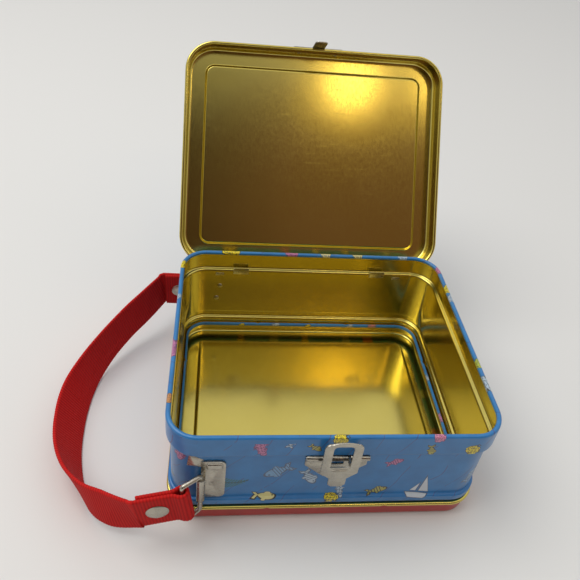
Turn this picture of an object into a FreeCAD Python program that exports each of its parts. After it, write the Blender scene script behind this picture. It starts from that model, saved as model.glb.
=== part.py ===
"""Tin lunch box lying on its bottom cover, lid open on its rear hinges, strap spread out at its left.

Frame: X to the right along the latch side, Y from the latch side to the hinge side, Z up.
The origin is the centre of the flat underside. Sizes are millimetres.
"""
import FreeCAD, Part
import math
import os

V = FreeCAD.Vector
X_AXIS, Y_AXIS, Z_AXIS = V(1, 0, 0), V(0, 1, 0), V(0, 0, 1)
ORIGIN = V(0, 0, 0)

# ---- driving sizes: the tin ----
box_width = 155.0          # collar outside, along X
box_depth = 129.0          # collar outside, along Y
corner_radius = 15.0       # collar outside
rim_height = 65.5          # top of the rolled rim above the table
sheet = 0.35               # tinplate
rim_curl = 1.0             # centreline radius of the band's two rolled edges
collar_height = 12.2       # rolled rim down to the step
collar_step = 2.0          # how far the main wall lies inside the collar
step_radius = 1.2
foot_flare = 1.5           # how far the foot of the band stands out from the main wall
foot_height = 2.6
foot_radius = 0.9
foot_gap = 0.3             # foot above the bottom cover's curl
neck_height = 3.6          # straight neck that goes down into the bottom cover
dimple_spread = 29.0
dimple_radius = 2.5
dimple_press = 0.67
dimple_below_curl = 1.2    # dimple centre below the centre of the cover's curl

# ---- driving sizes: the two covers ----
cover_clearance = 0.5      # between each cover's skirt and the band it goes over
cover_bend = 1.8           # bend between skirt and panel
panel_corner = 7.4         # what is left of the collar's corner radius inside the border
panel_lead = 1.2           # how far the swept edge runs in before the flat panel
panel_step = 1.4
panel_step_radius = 1.1
bottom_skirt = 10.4        # underside of the bottom cover to the centre of its curl
lid_gap = 0.15             # lid's border above the rolled rim
lid_hinge_drop = 10.8      # rolled rim's top down to the hinge axis
lid_open_angle = 124.5     # closed to the open stop

# ---- driving sizes: lid hinges ----
hinge_spread = 49.0        # centre of each hinge from the middle
hinge_width = 21.0
hinge_wire_radius = 0.6
hinge_leaf = 0.4
hinge_leaf_length = 2.2
hinge_bend = 1.3           # where the leaf turns in under the collar
hinge_under = 0.6          # that bend below the collar's own
hinge_side_gap = 0.4
hinge_air = 0.2            # lid's notch round the knuckle
wire_air = 0.075           # between the wire and the inside of the lid's curl
wire_engagement = 5.0      # how much longer the wire is than its knuckle
running_gap = 0.06         # shafts in their rolled barrels
# Each leaf is held by two tabs through the wall: (from, to) the leaf's middle, positive away from the
# tin's middle, then how far the tab is clenched (down, up).
clench_tabs = [(-11.4, -2.2, -0.4, 3.9), (3.4, 8.4, -1.7, 0.0)]
clench_below_bend = 0.3
tab_gap = 0.1

# ---- driving sizes: latch and catch ----
plate = 0.6                # nickel-plated latch plates
latch_pin_radius = 0.8
latch_width = 28.8
pin_proud = 0.3            # pin past each end of the roll
ear_gap = 0.3              # ears in their slots
latch_wing_height = 9.4
latch_plate_height = 16.0
latch_apex_width = 10.0
wing_corner_in, wing_corner_up = 2.6, 2.2
latch_roll_gap = 0.2       # roll clear of the wall, and above the bend that carries it
latch_roll_overlap = 1.0   # how far the roll tucks under the collar
ear_slot_depth, ear_slot_drop = 3.0, 3.2
latch_hole_width, latch_hole_height, latch_hole_drop = 6.8, 4.4, 0.6
latch_rivet_in, latch_rivet_down = 2.9, 2.6
lever_sheet = 0.8
lever_width = 17.0
lever_window = 9.0
window_corner = 2.0
lever_stand = 5.0          # lever's mid plane in front of its pin
lever_reach_up = 18.0      # pin to the top of the arch
lever_reach_down = 14.0    # pin to the end of the thumb tab
lever_bar = 2.3            # height of the arch's bar
lever_arch = 1.1           # how much the bar rises between its shoulders
lever_shoulder = 2.6       # shoulders' corner radius
lever_waist = 3.6          # legs' ends below the pin
lever_taper = 4.2          # height in which the legs draw in to the thumb tab
window_sill = 0.4          # window's low edge above the pin
thumb_width = 8.0
thumb_corner = 1.6
thumb_ridge = 0.5
thumb_ridge_drop = 2.0     # ridge below the window's low edge
catch_width = 30.0
catch_tongue_width = 7.5
catch_tongue_length = 14.0
catch_tongue_corner = 2.2
catch_above_bead, catch_below_bend = 0.25, 0.3
catch_bead_gap = 0.2       # catch's lower flange in front of the lid's curl
hook_width, hook_arm = 6.4, 1.6
hook_lip = 1.2
hook_gap = 0.3             # hook behind the free lever
hook_rise = 0.2            # hook's top above the window's top, which lifts as the lever rocks
catch_rivet_x = 11.4
catch_rivet_up = 0.4
catch_rivet = (1.2, 0.5, 0.7)   # head radius, head height, shank radius
rivet_radius = 1.5
rivet_head = 0.7
rivet_shank = 0.9
rivet_tail = 0.2
rivet_tail_share = 0.8     # of the head's radius
hole_depth = 4.0           # drilled through the sheets at a rivet
ear_radius = 1.5

# ---- driving sizes: strap hardware ----
bracket_inset = 16.6       # axis of the bracket's barrel in from the collar's left side
bracket_sheet = 0.8
bracket_width = 11.0
bracket_height = 28.0
bracket_rivets = [(4.5, 29.5), (6.3, 39.5)]   # (x from the barrel, z), heads inside, shanks flush outside
bracket_mid = 33.0
bracket_corner = 3.0
boss_width, boss_height, boss_stand, boss_round = 7.6, 5.4, 1.7, 1.2
boss_in = 1.2              # boss to the bracket's right edge
# flared end of the barrel's sheet: its outline on the wall as (x from the barrel, z), and the peak between
leaf_points = [(-6.5, 43.6), (-5.5, 51.6), (0.9, 47.6), (1.0, 41.6)]
leaf_peak = (-2.7, 46.4)
leaf_stand = 2.0
barrel_mid = 30.0
barrel_length = 16.4
barrel_stand = 1.4         # barrel clear of the wall, so that its ring misses the band's foot
ring_wire_radius = 1.1
ring_swing = 30.0          # the ring stands this far off the wall at rest, degrees
ring_reach = 7.6           # barrel axis to the middle of the bar that holds the strap
ring_bar_length = 28.4
ring_inner_length = 26.4
ring_corner = 1.5

# ---- driving sizes: webbing ----
webbing_width = 22.0
webbing = 1.8
webbing_gap = 0.3
webbing_layer_gap = 0.1
webbing_bend = 6.0         # how gently each layer closes on the other behind the ring
strap_end_length = 22.0
strap_tail = 8.0           # tail beyond the rivet
strap_joint_gap = 1.0
strap_rivet_reach = 12.5  # bar that holds the strap to its rivet
strap_cap_radius = 5.3
strap_cap_height = 1.5
back_cap_radius = 4.5
back_cap_height = 0.9
strap_post_radius = 2.0
# Middle of the webbing and the direction across it, from the front end round to the rear end. A middle is
# x from the barrel, y in half depths of the tin, and z.
strap_route = [
    ((-42.1, -1.0388, 17.4), (-0.03, 0.10, 1.00)),
    ((-53.1, -0.9225, 13.9), (-0.12, 0.02, 1.00)),
    ((-61.6, -0.7287, 11.2), (-0.32, -0.10, 0.95)),
    ((-67.4, -0.4961, 10.3), (-0.46, -0.10, 0.88)),
    ((-69.9, -0.2481, 10.0), (-0.52, -0.02, 0.85)),
    ((-69.9, 0.0155, 10.1), (-0.50, 0.02, 0.86)),
    ((-66.1, 0.2791, 11.3), (-0.36, 0.02, 0.93)),
    ((-58.9, 0.5194, 14.6), (-0.20, 0.06, 0.98)),
    ((-49.1, 0.7519, 18.6), (-0.10, 0.10, 1.00)),
    ((-39.1, 0.9302, 23.0), (-0.04, 0.12, 1.00)),
]

# ---- places worked out from those sizes ----
half_depth = box_depth / 2
border_width = corner_radius - panel_corner        # flat border inside a cover's skirt
cover_bead = hinge_wire_radius + wire_air + sheet / 2   # centreline radius of a cover's outward curl
half_width = box_width / 2
bracket_x = bracket_inset - half_width
wall_face = half_depth - collar_step               # outer face of the main wall, front and rear
rim_top = rim_height
collar_foot = rim_top - collar_height
skirt_mid = cover_clearance + sheet / 2            # a cover skirt's centreline outside the collar face
hinge_z = rim_top - lid_hinge_drop
hinge_y = half_depth + skirt_mid + cover_bead
lid_top = rim_top + lid_gap + sheet


# ---- small builders ----
def section(start, heading, moves, thickness):
    """Face of a bent strip. moves are ("line", length) or ("arc", radius, signed degrees)."""
    sides = {1: [], -1: []}
    x, z = start
    angle = math.radians(heading)

    def offset(px, pz, a, side):
        return V(px - side * math.sin(a) * thickness / 2, 0, pz + side * math.cos(a) * thickness / 2)

    first = {s: offset(x, z, angle, s) for s in sides}
    for move in moves:
        if move[0] == "line":
            nx, nz = x + move[1] * math.cos(angle), z + move[1] * math.sin(angle)
            for s in sides:
                sides[s].append(Part.LineSegment(offset(x, z, angle, s), offset(nx, nz, angle, s)))
        else:
            turn = math.radians(move[2])
            sign = 1 if turn > 0 else -1
            cx, cz = x - sign * move[1] * math.sin(angle), z + sign * move[1] * math.cos(angle)

            def along(t):
                a = angle + t
                return cx + sign * move[1] * math.sin(a), cz - sign * move[1] * math.cos(a), a
            for s in sides:
                p0, p1, p2 = (offset(*along(t), s) for t in (0, turn / 2, turn))
                sides[s].append(Part.Arc(p0, p1, p2))
            nx, nz, angle = along(turn)
        x, z = nx, nz
    last = {s: offset(x, z, angle, s) for s in sides}
    edges = [c.toShape() for s in sides for c in sides[s]]
    edges.append(Part.LineSegment(first[1], first[-1]).toShape())
    edges.append(Part.LineSegment(last[1], last[-1]).toShape())
    return Part.Face(Part.Wire(Part.__sortEdges__(edges)))


def joggle(offset, radius):
    """Two equal opposite bends that move a strip sideways; positive moves it to the left of its heading."""
    angle = math.degrees(math.acos(1 - abs(offset) / (2 * radius)))
    side = 1 if offset > 0 else -1
    return [("arc", radius, side * angle), ("arc", radius, -side * angle)]


def joggle_run(offset, radius):
    return 2 * radius * math.sin(math.acos(1 - abs(offset) / (2 * radius)))


def round_sweep(face, width, depth, radius):
    """Sweep a section, x measured outward, round a rectangle with rounded corners."""
    along_x, along_y = width - 2 * radius, depth - 2 * radius
    pieces = []
    for turn in range(4):
        run = along_y if turn % 2 == 0 else along_x
        reach = (width if turn % 2 == 0 else depth) / 2
        side = face.translated(V(reach, -run / 2, 0)).extrude(V(0, run, 0))
        pieces.append(side.rotated(ORIGIN, Z_AXIS, 90 * turn))
        corner = face.translated(V(radius, 0, 0)).revolve(ORIGIN, Z_AXIS, 90)
        corner = corner.rotated(ORIGIN, Z_AXIS, 90 * turn)
        sx = 1 if turn in (0, 3) else -1
        sy = 1 if turn in (0, 1) else -1
        pieces.append(corner.translated(V(sx * (width / 2 - radius), sy * (depth / 2 - radius), 0)))
    return pieces[0].multiFuse(pieces[1:]).removeSplitter()


def round_plate(width, depth, radius, z, thickness):
    plate_box = Part.makeBox(width, depth, thickness, V(-width / 2, -depth / 2, z))
    uprights = [e for e in plate_box.Edges if abs(e.tangentAt(e.FirstParameter).z) > 0.9]
    return plate_box.makeFillet(radius, uprights)


def block(x0, x1, y0, y1, z0, z1):
    return Part.makeBox(x1 - x0, y1 - y0, z1 - z0, V(x0, y0, z0))


def rod(centre, radius, length, axis):
    """Cylinder centred on a point."""
    return Part.makeCylinder(radius, length, centre - axis * (length / 2), axis)


def along_x(face, x0, x1):
    """Turn an XZ section into one that lies in YZ, and extrude it from x0 to x1."""
    turned = face.rotated(ORIGIN, Z_AXIS, 90)
    return turned.translated(V(x0, 0, 0)).extrude(V(x1 - x0, 0, 0))


def mirror_front(shape):
    return shape.mirror(ORIGIN, Y_AXIS)


def outline_plate(points, y, thickness):
    """Flat plate against a wall that faces -Y; points are (x, z)."""
    wire = Part.makePolygon([V(px, y, pz) for px, pz in points + points[:1]])
    return Part.Face(wire).extrude(V(0, -thickness, 0))


def domed_rivet(centre, radius, height, shank_radius, grip, outward, tail_height=rivet_tail):
    """Round head proud of a face, with its shank going back through the sheet to a flat tail, or flush."""
    ball = (radius ** 2 + height ** 2) / (2 * height)
    dome = Part.makeSphere(ball, centre - outward * (ball - height))
    head = dome.common(Part.makeCylinder(radius, height, centre, outward))
    shank = Part.makeCylinder(shank_radius, grip, centre - outward * grip, outward)
    if not tail_height:
        return head.fuse(shank).removeSplitter()
    tail = Part.makeCylinder(radius * rivet_tail_share, tail_height, centre - outward * (grip + tail_height),
                             outward)
    return head.multiFuse([shank, tail]).removeSplitter()


def drill(shape, centre, radius, axis, depth):
    return shape.cut(rod(centre, radius, depth, axis))


# ---- tin: band, bottom cover, lid ----
neck_face = half_depth - collar_step - sheet       # outer face of the neck, front and rear
neck_inset = half_depth - neck_face
foot_out = foot_flare
foot_in = foot_flare + (neck_inset - collar_step)
foot_low = bottom_skirt + cover_bead + sheet / 2 + foot_gap + joggle_run(foot_in, step_radius)
foot_top = foot_low + foot_height
wall_run = collar_foot - joggle_run(collar_step, step_radius) - foot_top - joggle_run(foot_out, foot_radius)
curl_start = (-sheet / 2 - rim_curl, rim_top - sheet / 2 - 2 * rim_curl)
band_moves = [("arc", rim_curl, -270), ("line", collar_height - sheet / 2 - rim_curl)]
band_moves += joggle(-collar_step, step_radius) + [("line", wall_run)]
band_moves += joggle(foot_out, foot_radius) + [("line", foot_height)]
band_moves += joggle(-foot_in, step_radius)
band_moves += [("line", neck_height), ("arc", rim_curl, -270)]
band = round_sweep(section(curl_start, 180, band_moves, sheet), box_width, box_depth, corner_radius)

cover_radius = corner_radius + skirt_mid


def cover_moves(inner_end, skirt_height, direction):
    """Panel edge outward to the curl; direction is 1 when the skirt rises and -1 when it hangs."""
    step = joggle(-direction * panel_step, panel_step_radius)
    lead = inner_end - border_width - cover_bend - joggle_run(panel_step, panel_step_radius)
    skirt = skirt_height - cover_bend
    return [("line", lead)] + step + [("line", border_width), ("arc", cover_bend, direction * 90),
                                      ("line", skirt), ("arc", cover_bead, -direction * 290)]


def cover(width, depth, radius, face_z, skirt_height, direction):
    """Pan with a stepped panel. face_z is the border sheet's mid height."""
    inner_end = radius - panel_lead
    panel_z = face_z + direction * panel_step
    face = section((-inner_end, panel_z), 0, cover_moves(inner_end, skirt_height, direction), sheet)
    edge = round_sweep(face, width, depth, radius)
    inset = 2 * inner_end
    floor = round_plate(width - inset, depth - inset, radius - inner_end, panel_z - sheet / 2, sheet)
    return edge.fuse(floor).removeSplitter()


bottom_offset = 2 * (cover_clearance + sheet / 2) - 2 * neck_inset
bottom_cover = cover(box_width + bottom_offset, box_depth + bottom_offset, corner_radius + bottom_offset / 2,
                     sheet / 2, bottom_skirt - sheet / 2, 1)
lid_border_z = lid_top - sheet / 2
lid_closed = cover(box_width + 2 * skirt_mid, box_depth + 2 * skirt_mid, cover_radius,
                   lid_border_z, lid_border_z - hinge_z, -1)

# ---- hinges: leaf with a rolled knuckle, its two clenched tabs, and the wire in the lid's curl ----
knuckle_mid = hinge_wire_radius + running_gap + hinge_leaf / 2
leaf_face = wall_face + hinge_leaf / 2              # centreline of the leaf on the main wall
leaf_in = hinge_y - knuckle_mid - leaf_face
leaf_drop = hinge_z - collar_foot + hinge_under     # the leaf bends in round the collar's lower corner
tab_z = collar_foot - hinge_under - joggle_run(leaf_in, hinge_bend) - clench_below_bend


def hinge_leaf_at(x):
    moves = [("arc", knuckle_mid, 285), ("line", leaf_drop)]
    moves += joggle(-leaf_in, hinge_bend) + [("line", hinge_leaf_length)]
    start_angle = math.radians(-105)
    start = (hinge_y + knuckle_mid * math.cos(start_angle), hinge_z + knuckle_mid * math.sin(start_angle))
    face = section(start, -15, moves, hinge_leaf)
    leaf = along_x(face, x - hinge_width / 2, x + hinge_width / 2)
    inside = wall_face - sheet
    for x0, x1, low, high in tabs_at(x):
        leaf = leaf.fuse(block(x0, x1, inside - hinge_leaf, wall_face + hinge_leaf / 2,
                               tab_z - hinge_leaf, tab_z))
        leaf = leaf.fuse(block(x0, x1, inside - hinge_leaf, inside, tab_z + low, tab_z + high))
    return leaf.removeSplitter()


def tabs_at(x):
    way = math.copysign(1, x)
    return [tuple(sorted((x + way * near, x + way * far))) + (low, high)
            for near, far, low, high in clench_tabs]


def tab_slots(x):
    return [block(x0 - tab_gap, x1 + tab_gap, wall_face - 2 * sheet, wall_face + sheet,
                  tab_z - hinge_leaf - tab_gap, tab_z + tab_gap) for x0, x1, _, _ in tabs_at(x)]


knuckle_outer = knuckle_mid + hinge_leaf / 2
hinges = {"left": -hinge_spread, "right": hinge_spread}
hinge_parts = {}
for name, x in hinges.items():
    hinge_parts["hinge_leaf_" + name] = hinge_leaf_at(x)
    hinge_parts["hinge_wire_" + name] = rod(V(x, hinge_y, hinge_z), hinge_wire_radius,
                                            hinge_width + wire_engagement, X_AXIS)
    band = band.cut(Part.makeCompound(tab_slots(x)))
    lid_closed = drill(lid_closed, V(x, hinge_y, hinge_z), knuckle_outer + hinge_air, X_AXIS,
                       hinge_width + 2 * hinge_side_gap)

# ---- latch on the front: base plate rolled round the pin, and the rocking lever ----
roll_outer = latch_pin_radius + running_gap + plate
pin_y = -(wall_face + roll_outer + latch_roll_gap)
pin_z = collar_foot - joggle_run(collar_step, step_radius) - roll_outer + latch_roll_overlap
ear_x = lever_window / 2
half_latch, half_apex = latch_width / 2, latch_apex_width / 2
wing_low, plate_low = pin_z - latch_wing_height, pin_z - latch_plate_height
half_outline = [(half_latch, pin_z), (half_latch, wing_low + wing_corner_up),
                (half_latch - wing_corner_in, wing_low), (half_apex, plate_low)]
base_outline = half_outline + [(-px, pz) for px, pz in reversed(half_outline)]
base = outline_plate(base_outline, -wall_face, plate)
roll = rod(V(0, pin_y, pin_z), roll_outer, latch_width, X_AXIS)
roll = roll.fuse(block(-half_latch, half_latch, pin_y, -wall_face,
                       pin_z - roll_outer, pin_z - latch_roll_gap))
roll = drill(roll, V(0, pin_y, pin_z), latch_pin_radius + running_gap, X_AXIS, latch_width + 2)
base = base.fuse(roll)
for side in (-1, 1):
    cx = side * (ear_x + lever_sheet / 2)
    half_slot = lever_sheet / 2 + ear_gap
    base = base.cut(block(cx - half_slot, cx + half_slot, pin_y - ear_slot_depth, -wall_face,
                          pin_z - ear_slot_drop, pin_z + ear_slot_depth))
hole_top = pin_z - roll_outer - latch_hole_drop
base = base.cut(block(-latch_hole_width / 2, latch_hole_width / 2, pin_y, -wall_face + plate,
                      hole_top - latch_hole_height, hole_top)).removeSplitter()
latch_pin = rod(V(0, pin_y, pin_z), latch_pin_radius, latch_width + 2 * pin_proud, X_AXIS)

lever_y = pin_y - lever_stand
lever_top, lever_end = pin_z + lever_reach_up, pin_z - lever_reach_down
back = lever_y + lever_sheet / 2


def lever_blank():
    """Horseshoe with a thumb tab, flat in its own plane."""
    hw, ht = lever_width / 2, thumb_width / 2
    shoulder_z = lever_top - lever_arch
    leg_low = pin_z - lever_waist
    pts = [(hw, shoulder_z - lever_shoulder), (hw, leg_low), (ht, leg_low - lever_taper),
           (ht, lever_end + thumb_corner), (ht - thumb_corner, lever_end)]
    pts += [(-px, pz) for px, pz in reversed(pts)]
    edges = [Part.LineSegment(V(a[0], back, a[1]), V(b[0], back, b[1])).toShape()
             for a, b in zip(pts, pts[1:])]
    inward = lever_shoulder * (1 - math.sqrt(0.5))
    for side in (-1, 1):
        edges.append(Part.Arc(V(side * hw, back, shoulder_z - lever_shoulder),
                              V(side * (hw - inward), back, shoulder_z - inward),
                              V(side * (hw - lever_shoulder), back, shoulder_z)).toShape())
    edges.append(Part.Arc(V(hw - lever_shoulder, back, shoulder_z), V(0, back, lever_top),
                          V(lever_shoulder - hw, back, shoulder_z)).toShape())
    wire = Part.Wire(Part.__sortEdges__(edges))
    return Part.Face(wire).extrude(V(0, -lever_sheet, 0))


window_low = pin_z + window_sill
window_top = lever_top - lever_bar
window_round = window_top - window_corner
through = (back - 2 * lever_sheet, back + lever_sheet)
window = block(-ear_x, ear_x, *through, window_low, window_round)
window = window.fuse(block(-ear_x + window_corner, ear_x - window_corner, *through, window_round, window_top))
for side in (-1, 1):
    window = window.fuse(rod(V(side * (ear_x - window_corner), back, window_round), window_corner,
                             4 * lever_sheet, Y_AXIS))
lever = lever_blank().cut(window)
for side in (-1, 1):
    x0 = side * ear_x if side > 0 else -ear_x - lever_sheet
    ear = block(x0, x0 + lever_sheet, back, pin_y, pin_z - ear_radius, pin_z + ear_radius)
    ear = ear.fuse(rod(V(x0 + lever_sheet / 2, pin_y, pin_z), ear_radius, lever_sheet, X_AXIS))
    lever = lever.fuse(ear)
lever = drill(lever, V(0, pin_y, pin_z), latch_pin_radius + running_gap, X_AXIS, lever_width)
ridge = rod(V(0, back - lever_sheet, window_low - thumb_ridge_drop), thumb_ridge,
            thumb_width - 2 * thumb_ridge, X_AXIS)
lever = lever.fuse(ridge).removeSplitter()

latch_rivet_x = half_latch - latch_rivet_in
latch_rivet_z = pin_z - roll_outer - latch_rivet_down
front = V(0, -1, 0)
latch_rivets = []
for side in (-1, 1):
    at = V(side * latch_rivet_x, -wall_face - plate, latch_rivet_z)
    latch_rivets.append(domed_rivet(at, rivet_radius, rivet_head, rivet_shank, plate + sheet, front))
    base = drill(base, at, rivet_shank, Y_AXIS, hole_depth)
    band = drill(band, at, rivet_shank, Y_AXIS, hole_depth)

# ---- catch on the lid's front skirt, drawn with the lid closed ----
skirt_face = half_depth + cover_clearance + sheet
bead_face = skirt_face + 2 * cover_bead
catch_low = hinge_z + cover_bead + sheet / 2 + catch_above_bead
catch_top = lid_top - cover_bend - catch_below_bend
flange_reach = bead_face + catch_bead_gap + plate - skirt_face
catch = block(-catch_width / 2, catch_width / 2, -skirt_face - plate, -skirt_face, catch_low, catch_top)
catch = catch.fuse(block(-catch_width / 2, catch_width / 2, -skirt_face - flange_reach, -skirt_face,
                         catch_low, catch_low + plate))
tongue = block(-catch_tongue_width / 2, catch_tongue_width / 2, -skirt_face - flange_reach,
               -skirt_face - flange_reach + plate, catch_low - catch_tongue_length, catch_low + plate)
tongue_corners = [e for e in tongue.Edges if abs(e.tangentAt(e.FirstParameter).y) > 0.9
                  and e.CenterOfMass.z < catch_low - catch_tongue_length + 0.1]
tongue = tongue.makeFillet(catch_tongue_corner, tongue_corners)
hook_tip = -(back + hook_gap)
hook = block(-hook_width / 2, hook_width / 2, -hook_tip, -skirt_face, catch_top - hook_arm, catch_top)
hook = hook.fuse(block(-hook_width / 2, hook_width / 2, -hook_tip, -hook_tip + hook_lip,
                       catch_top - hook_arm, window_top + hook_rise))
catch = catch.multiFuse([tongue, hook]).removeSplitter()
catch_rivets = []
for side in (-1, 1):
    at = V(side * catch_rivet_x, -skirt_face - plate, (catch_low + catch_top) / 2 + catch_rivet_up)
    catch_rivets.append(domed_rivet(at, *catch_rivet, plate + sheet, front))
    catch = drill(catch, at, catch_rivet[2], Y_AXIS, hole_depth)
    lid_closed = drill(lid_closed, at, catch_rivet[2], Y_AXIS, hole_depth)


def opened(shape):
    return shape.rotated(V(0, hinge_y, hinge_z), X_AXIS, -lid_open_angle)


# ---- strap brackets and rings; the rear ones are the front ones mirrored ----
barrel_inner = ring_wire_radius + running_gap
barrel_outer = barrel_inner + bracket_sheet
barrel_y = -(wall_face + barrel_outer + barrel_stand)
bracket_low = bracket_mid - bracket_height / 2
bracket_high = bracket_mid + bracket_height / 2


def flared_leaf():
    """Folded leaf of bright sheet beside the barrel: a low pyramid on the wall."""
    foot = [V(bracket_x + px, -wall_face, pz) for px, pz in leaf_points]
    peak = V(bracket_x + leaf_peak[0], -wall_face - leaf_stand, leaf_peak[1])
    faces = [Part.Face(Part.makePolygon(foot + foot[:1]))]
    for i, corner in enumerate(foot):
        faces.append(Part.Face(Part.makePolygon([corner, foot[(i + 1) % len(foot)], peak, corner])))
    return Part.makeSolid(Part.makeShell(faces))


def strap_bracket():
    leaf = block(bracket_x, bracket_x + bracket_width, -wall_face - bracket_sheet, -wall_face,
                 bracket_low, bracket_high)
    round_edges = [e for e in leaf.Edges if abs(e.tangentAt(e.FirstParameter).y) > 0.9
                   and e.CenterOfMass.x > bracket_x + 1]
    leaf = leaf.makeFillet(bracket_corner, round_edges)
    barrel = rod(V(bracket_x, barrel_y, barrel_mid), barrel_outer, barrel_length, Z_AXIS)
    web = block(bracket_x, bracket_x + barrel_outer, barrel_y, -wall_face,
                barrel_mid - barrel_length / 2, barrel_mid + barrel_length / 2)
    boss_right = bracket_x + bracket_width - boss_in
    boss = block(boss_right - boss_width, boss_right, -wall_face - boss_stand, -wall_face - bracket_sheet / 2,
                 bracket_high - boss_height, bracket_high - boss_in)
    proud = [e for e in boss.Edges if e.CenterOfMass.y < -wall_face - bracket_sheet]
    boss = boss.makeFillet(boss_round, proud)
    shape = leaf.multiFuse([barrel, web, boss, flared_leaf()])
    shape = drill(shape, V(bracket_x, barrel_y, bracket_mid), barrel_inner, Z_AXIS, bracket_height + 2)
    return shape




def rounded_loop(points, radius, wire_radius):
    """Round wire bent to a closed polygon with rounded corners."""
    count = len(points)
    pieces = []
    ends = []
    for i in range(count):
        before, here, after = points[i - 1], points[i], points[(i + 1) % count]
        a = (before - here).normalize()
        b = (after - here).normalize()
        half = a.getAngle(b) / 2
        back_off = radius / math.tan(half)
        p0, p2 = here + a * back_off, here + b * back_off
        bisector = (a + b).normalize()
        centre = here + bisector * (radius / math.sin(half))
        circle = Part.Face(Part.Wire(Part.Circle(p0, a, wire_radius).toShape()))
        axis = a.cross(b).normalize()
        if axis.cross(p0 - centre).dot(a) > 0:
            axis = axis * -1
        bend = circle.revolve(centre, axis, math.degrees(math.pi - 2 * half))
        pieces.append(bend)
        ends.append((p0, p2))
    for i in range(count):
        p, q = ends[i][1], ends[(i + 1) % count][0]
        pieces.append(Part.makeCylinder(wire_radius, (q - p).Length, p, q - p))
    return pieces[0].multiFuse(pieces[1:]).removeSplitter()


def ring_frame(drop, tilt):
    """Middle of the bar that holds the webbing, and the bar's direction, for the front ring.

    drop is how far that middle hangs below the middle of the barrel.
    """
    out = V(-math.cos(math.radians(ring_swing)), -math.sin(math.radians(ring_swing)), 0)
    lean = math.radians(tilt)
    bar = out * math.sin(lean) + Z_AXIS * math.cos(lean)
    middle = V(bracket_x, barrel_y, barrel_mid - drop) + out * ring_reach
    return middle, bar


def strap_ring(slide, drop, tilt):
    """slide is how far the ring's inner bar has slid down in its barrel."""
    middle, bar = ring_frame(drop, tilt)
    inner = V(bracket_x, barrel_y, barrel_mid - slide)
    corners = [inner - Z_AXIS * (ring_inner_length / 2), inner + Z_AXIS * (ring_inner_length / 2),
               middle + bar * (ring_bar_length / 2), middle - bar * (ring_bar_length / 2)]
    return rounded_loop(corners, ring_corner, ring_wire_radius)


def strap_end(drop, tilt, heading):
    """Webbing folded round the ring and back, its rivet, its inner cap, and where the rest joins."""
    middle, bar = ring_frame(drop, tilt)
    away = V(-math.cos(math.radians(heading)), -math.sin(math.radians(heading)), 0)
    away = (away - bar * away.dot(bar)).normalize()
    outward = away.cross(bar)
    if outward.y > 0:
        outward = outward * -1
    across = outward.cross(away)
    loop = ring_wire_radius + webbing_gap + webbing / 2
    layer = (webbing + webbing_layer_gap) / 2        # each layer's centreline from the mid plane
    rise = loop - layer
    run = joggle_run(rise, webbing_bend)
    tail = strap_rivet_reach + strap_tail - run
    moves = [("line", tail)] + joggle(rise, webbing_bend) + [("arc", loop, -180)]
    moves += joggle(-rise, webbing_bend) + [("line", strap_end_length - run)]
    face = section((tail + run, -layer), 180, moves, webbing)
    end = face.translated(V(0, -webbing_width / 2, 0)).extrude(V(0, webbing_width, 0))
    top = layer + webbing / 2
    cap = domed_cap(top, strap_cap_radius, strap_cap_height)
    post = Part.makeCylinder(strap_post_radius, 2 * top, V(strap_rivet_reach, 0, -top))
    cap = cap.translated(V(strap_rivet_reach, 0, 0)).fuse(post).removeSplitter()
    back_cap = domed_cap(top, back_cap_radius, back_cap_height)
    back_cap = back_cap.rotated(ORIGIN, X_AXIS, 180).translated(V(strap_rivet_reach, 0, 0))
    end = end.cut(post)
    place = FreeCAD.Placement(FreeCAD.Matrix(away.x, across.x, outward.x, middle.x,
                                             away.y, across.y, outward.y, middle.y,
                                             away.z, across.z, outward.z, middle.z, 0, 0, 0, 1))
    for shape in (end, cap, back_cap):
        shape.Placement = place.multiply(shape.Placement)
    join = middle + away * (strap_end_length + strap_joint_gap) + outward * layer
    return {"end": end, "cap": cap, "back_cap": back_cap, "join": (join, bar, outward)}


def domed_cap(base_z, radius, height):
    ball = (radius ** 2 + height ** 2) / (2 * height)
    dome = Part.makeSphere(ball, V(0, 0, base_z + height - ball))
    return dome.common(Part.makeCylinder(radius, height, V(0, 0, base_z)))


def ribbon(stations):
    """Flat webbing through (middle, across, facing) stations, as flat-sided spans."""
    wires = []
    for i, (at, across, facing) in enumerate(stations):
        across = V(across).normalize()
        if facing is None:
            facing = (stations[i + 1][0] - stations[i - 1][0]).cross(across)
        flat = V(facing).normalize() * (webbing / 2)
        edge = across * (webbing_width / 2)
        corners = [at - edge - flat, at + edge - flat, at + edge + flat, at - edge + flat]
        wires.append(Part.makePolygon(corners + corners[:1]))
    return Part.makeLoft(wires, True, True)


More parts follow.
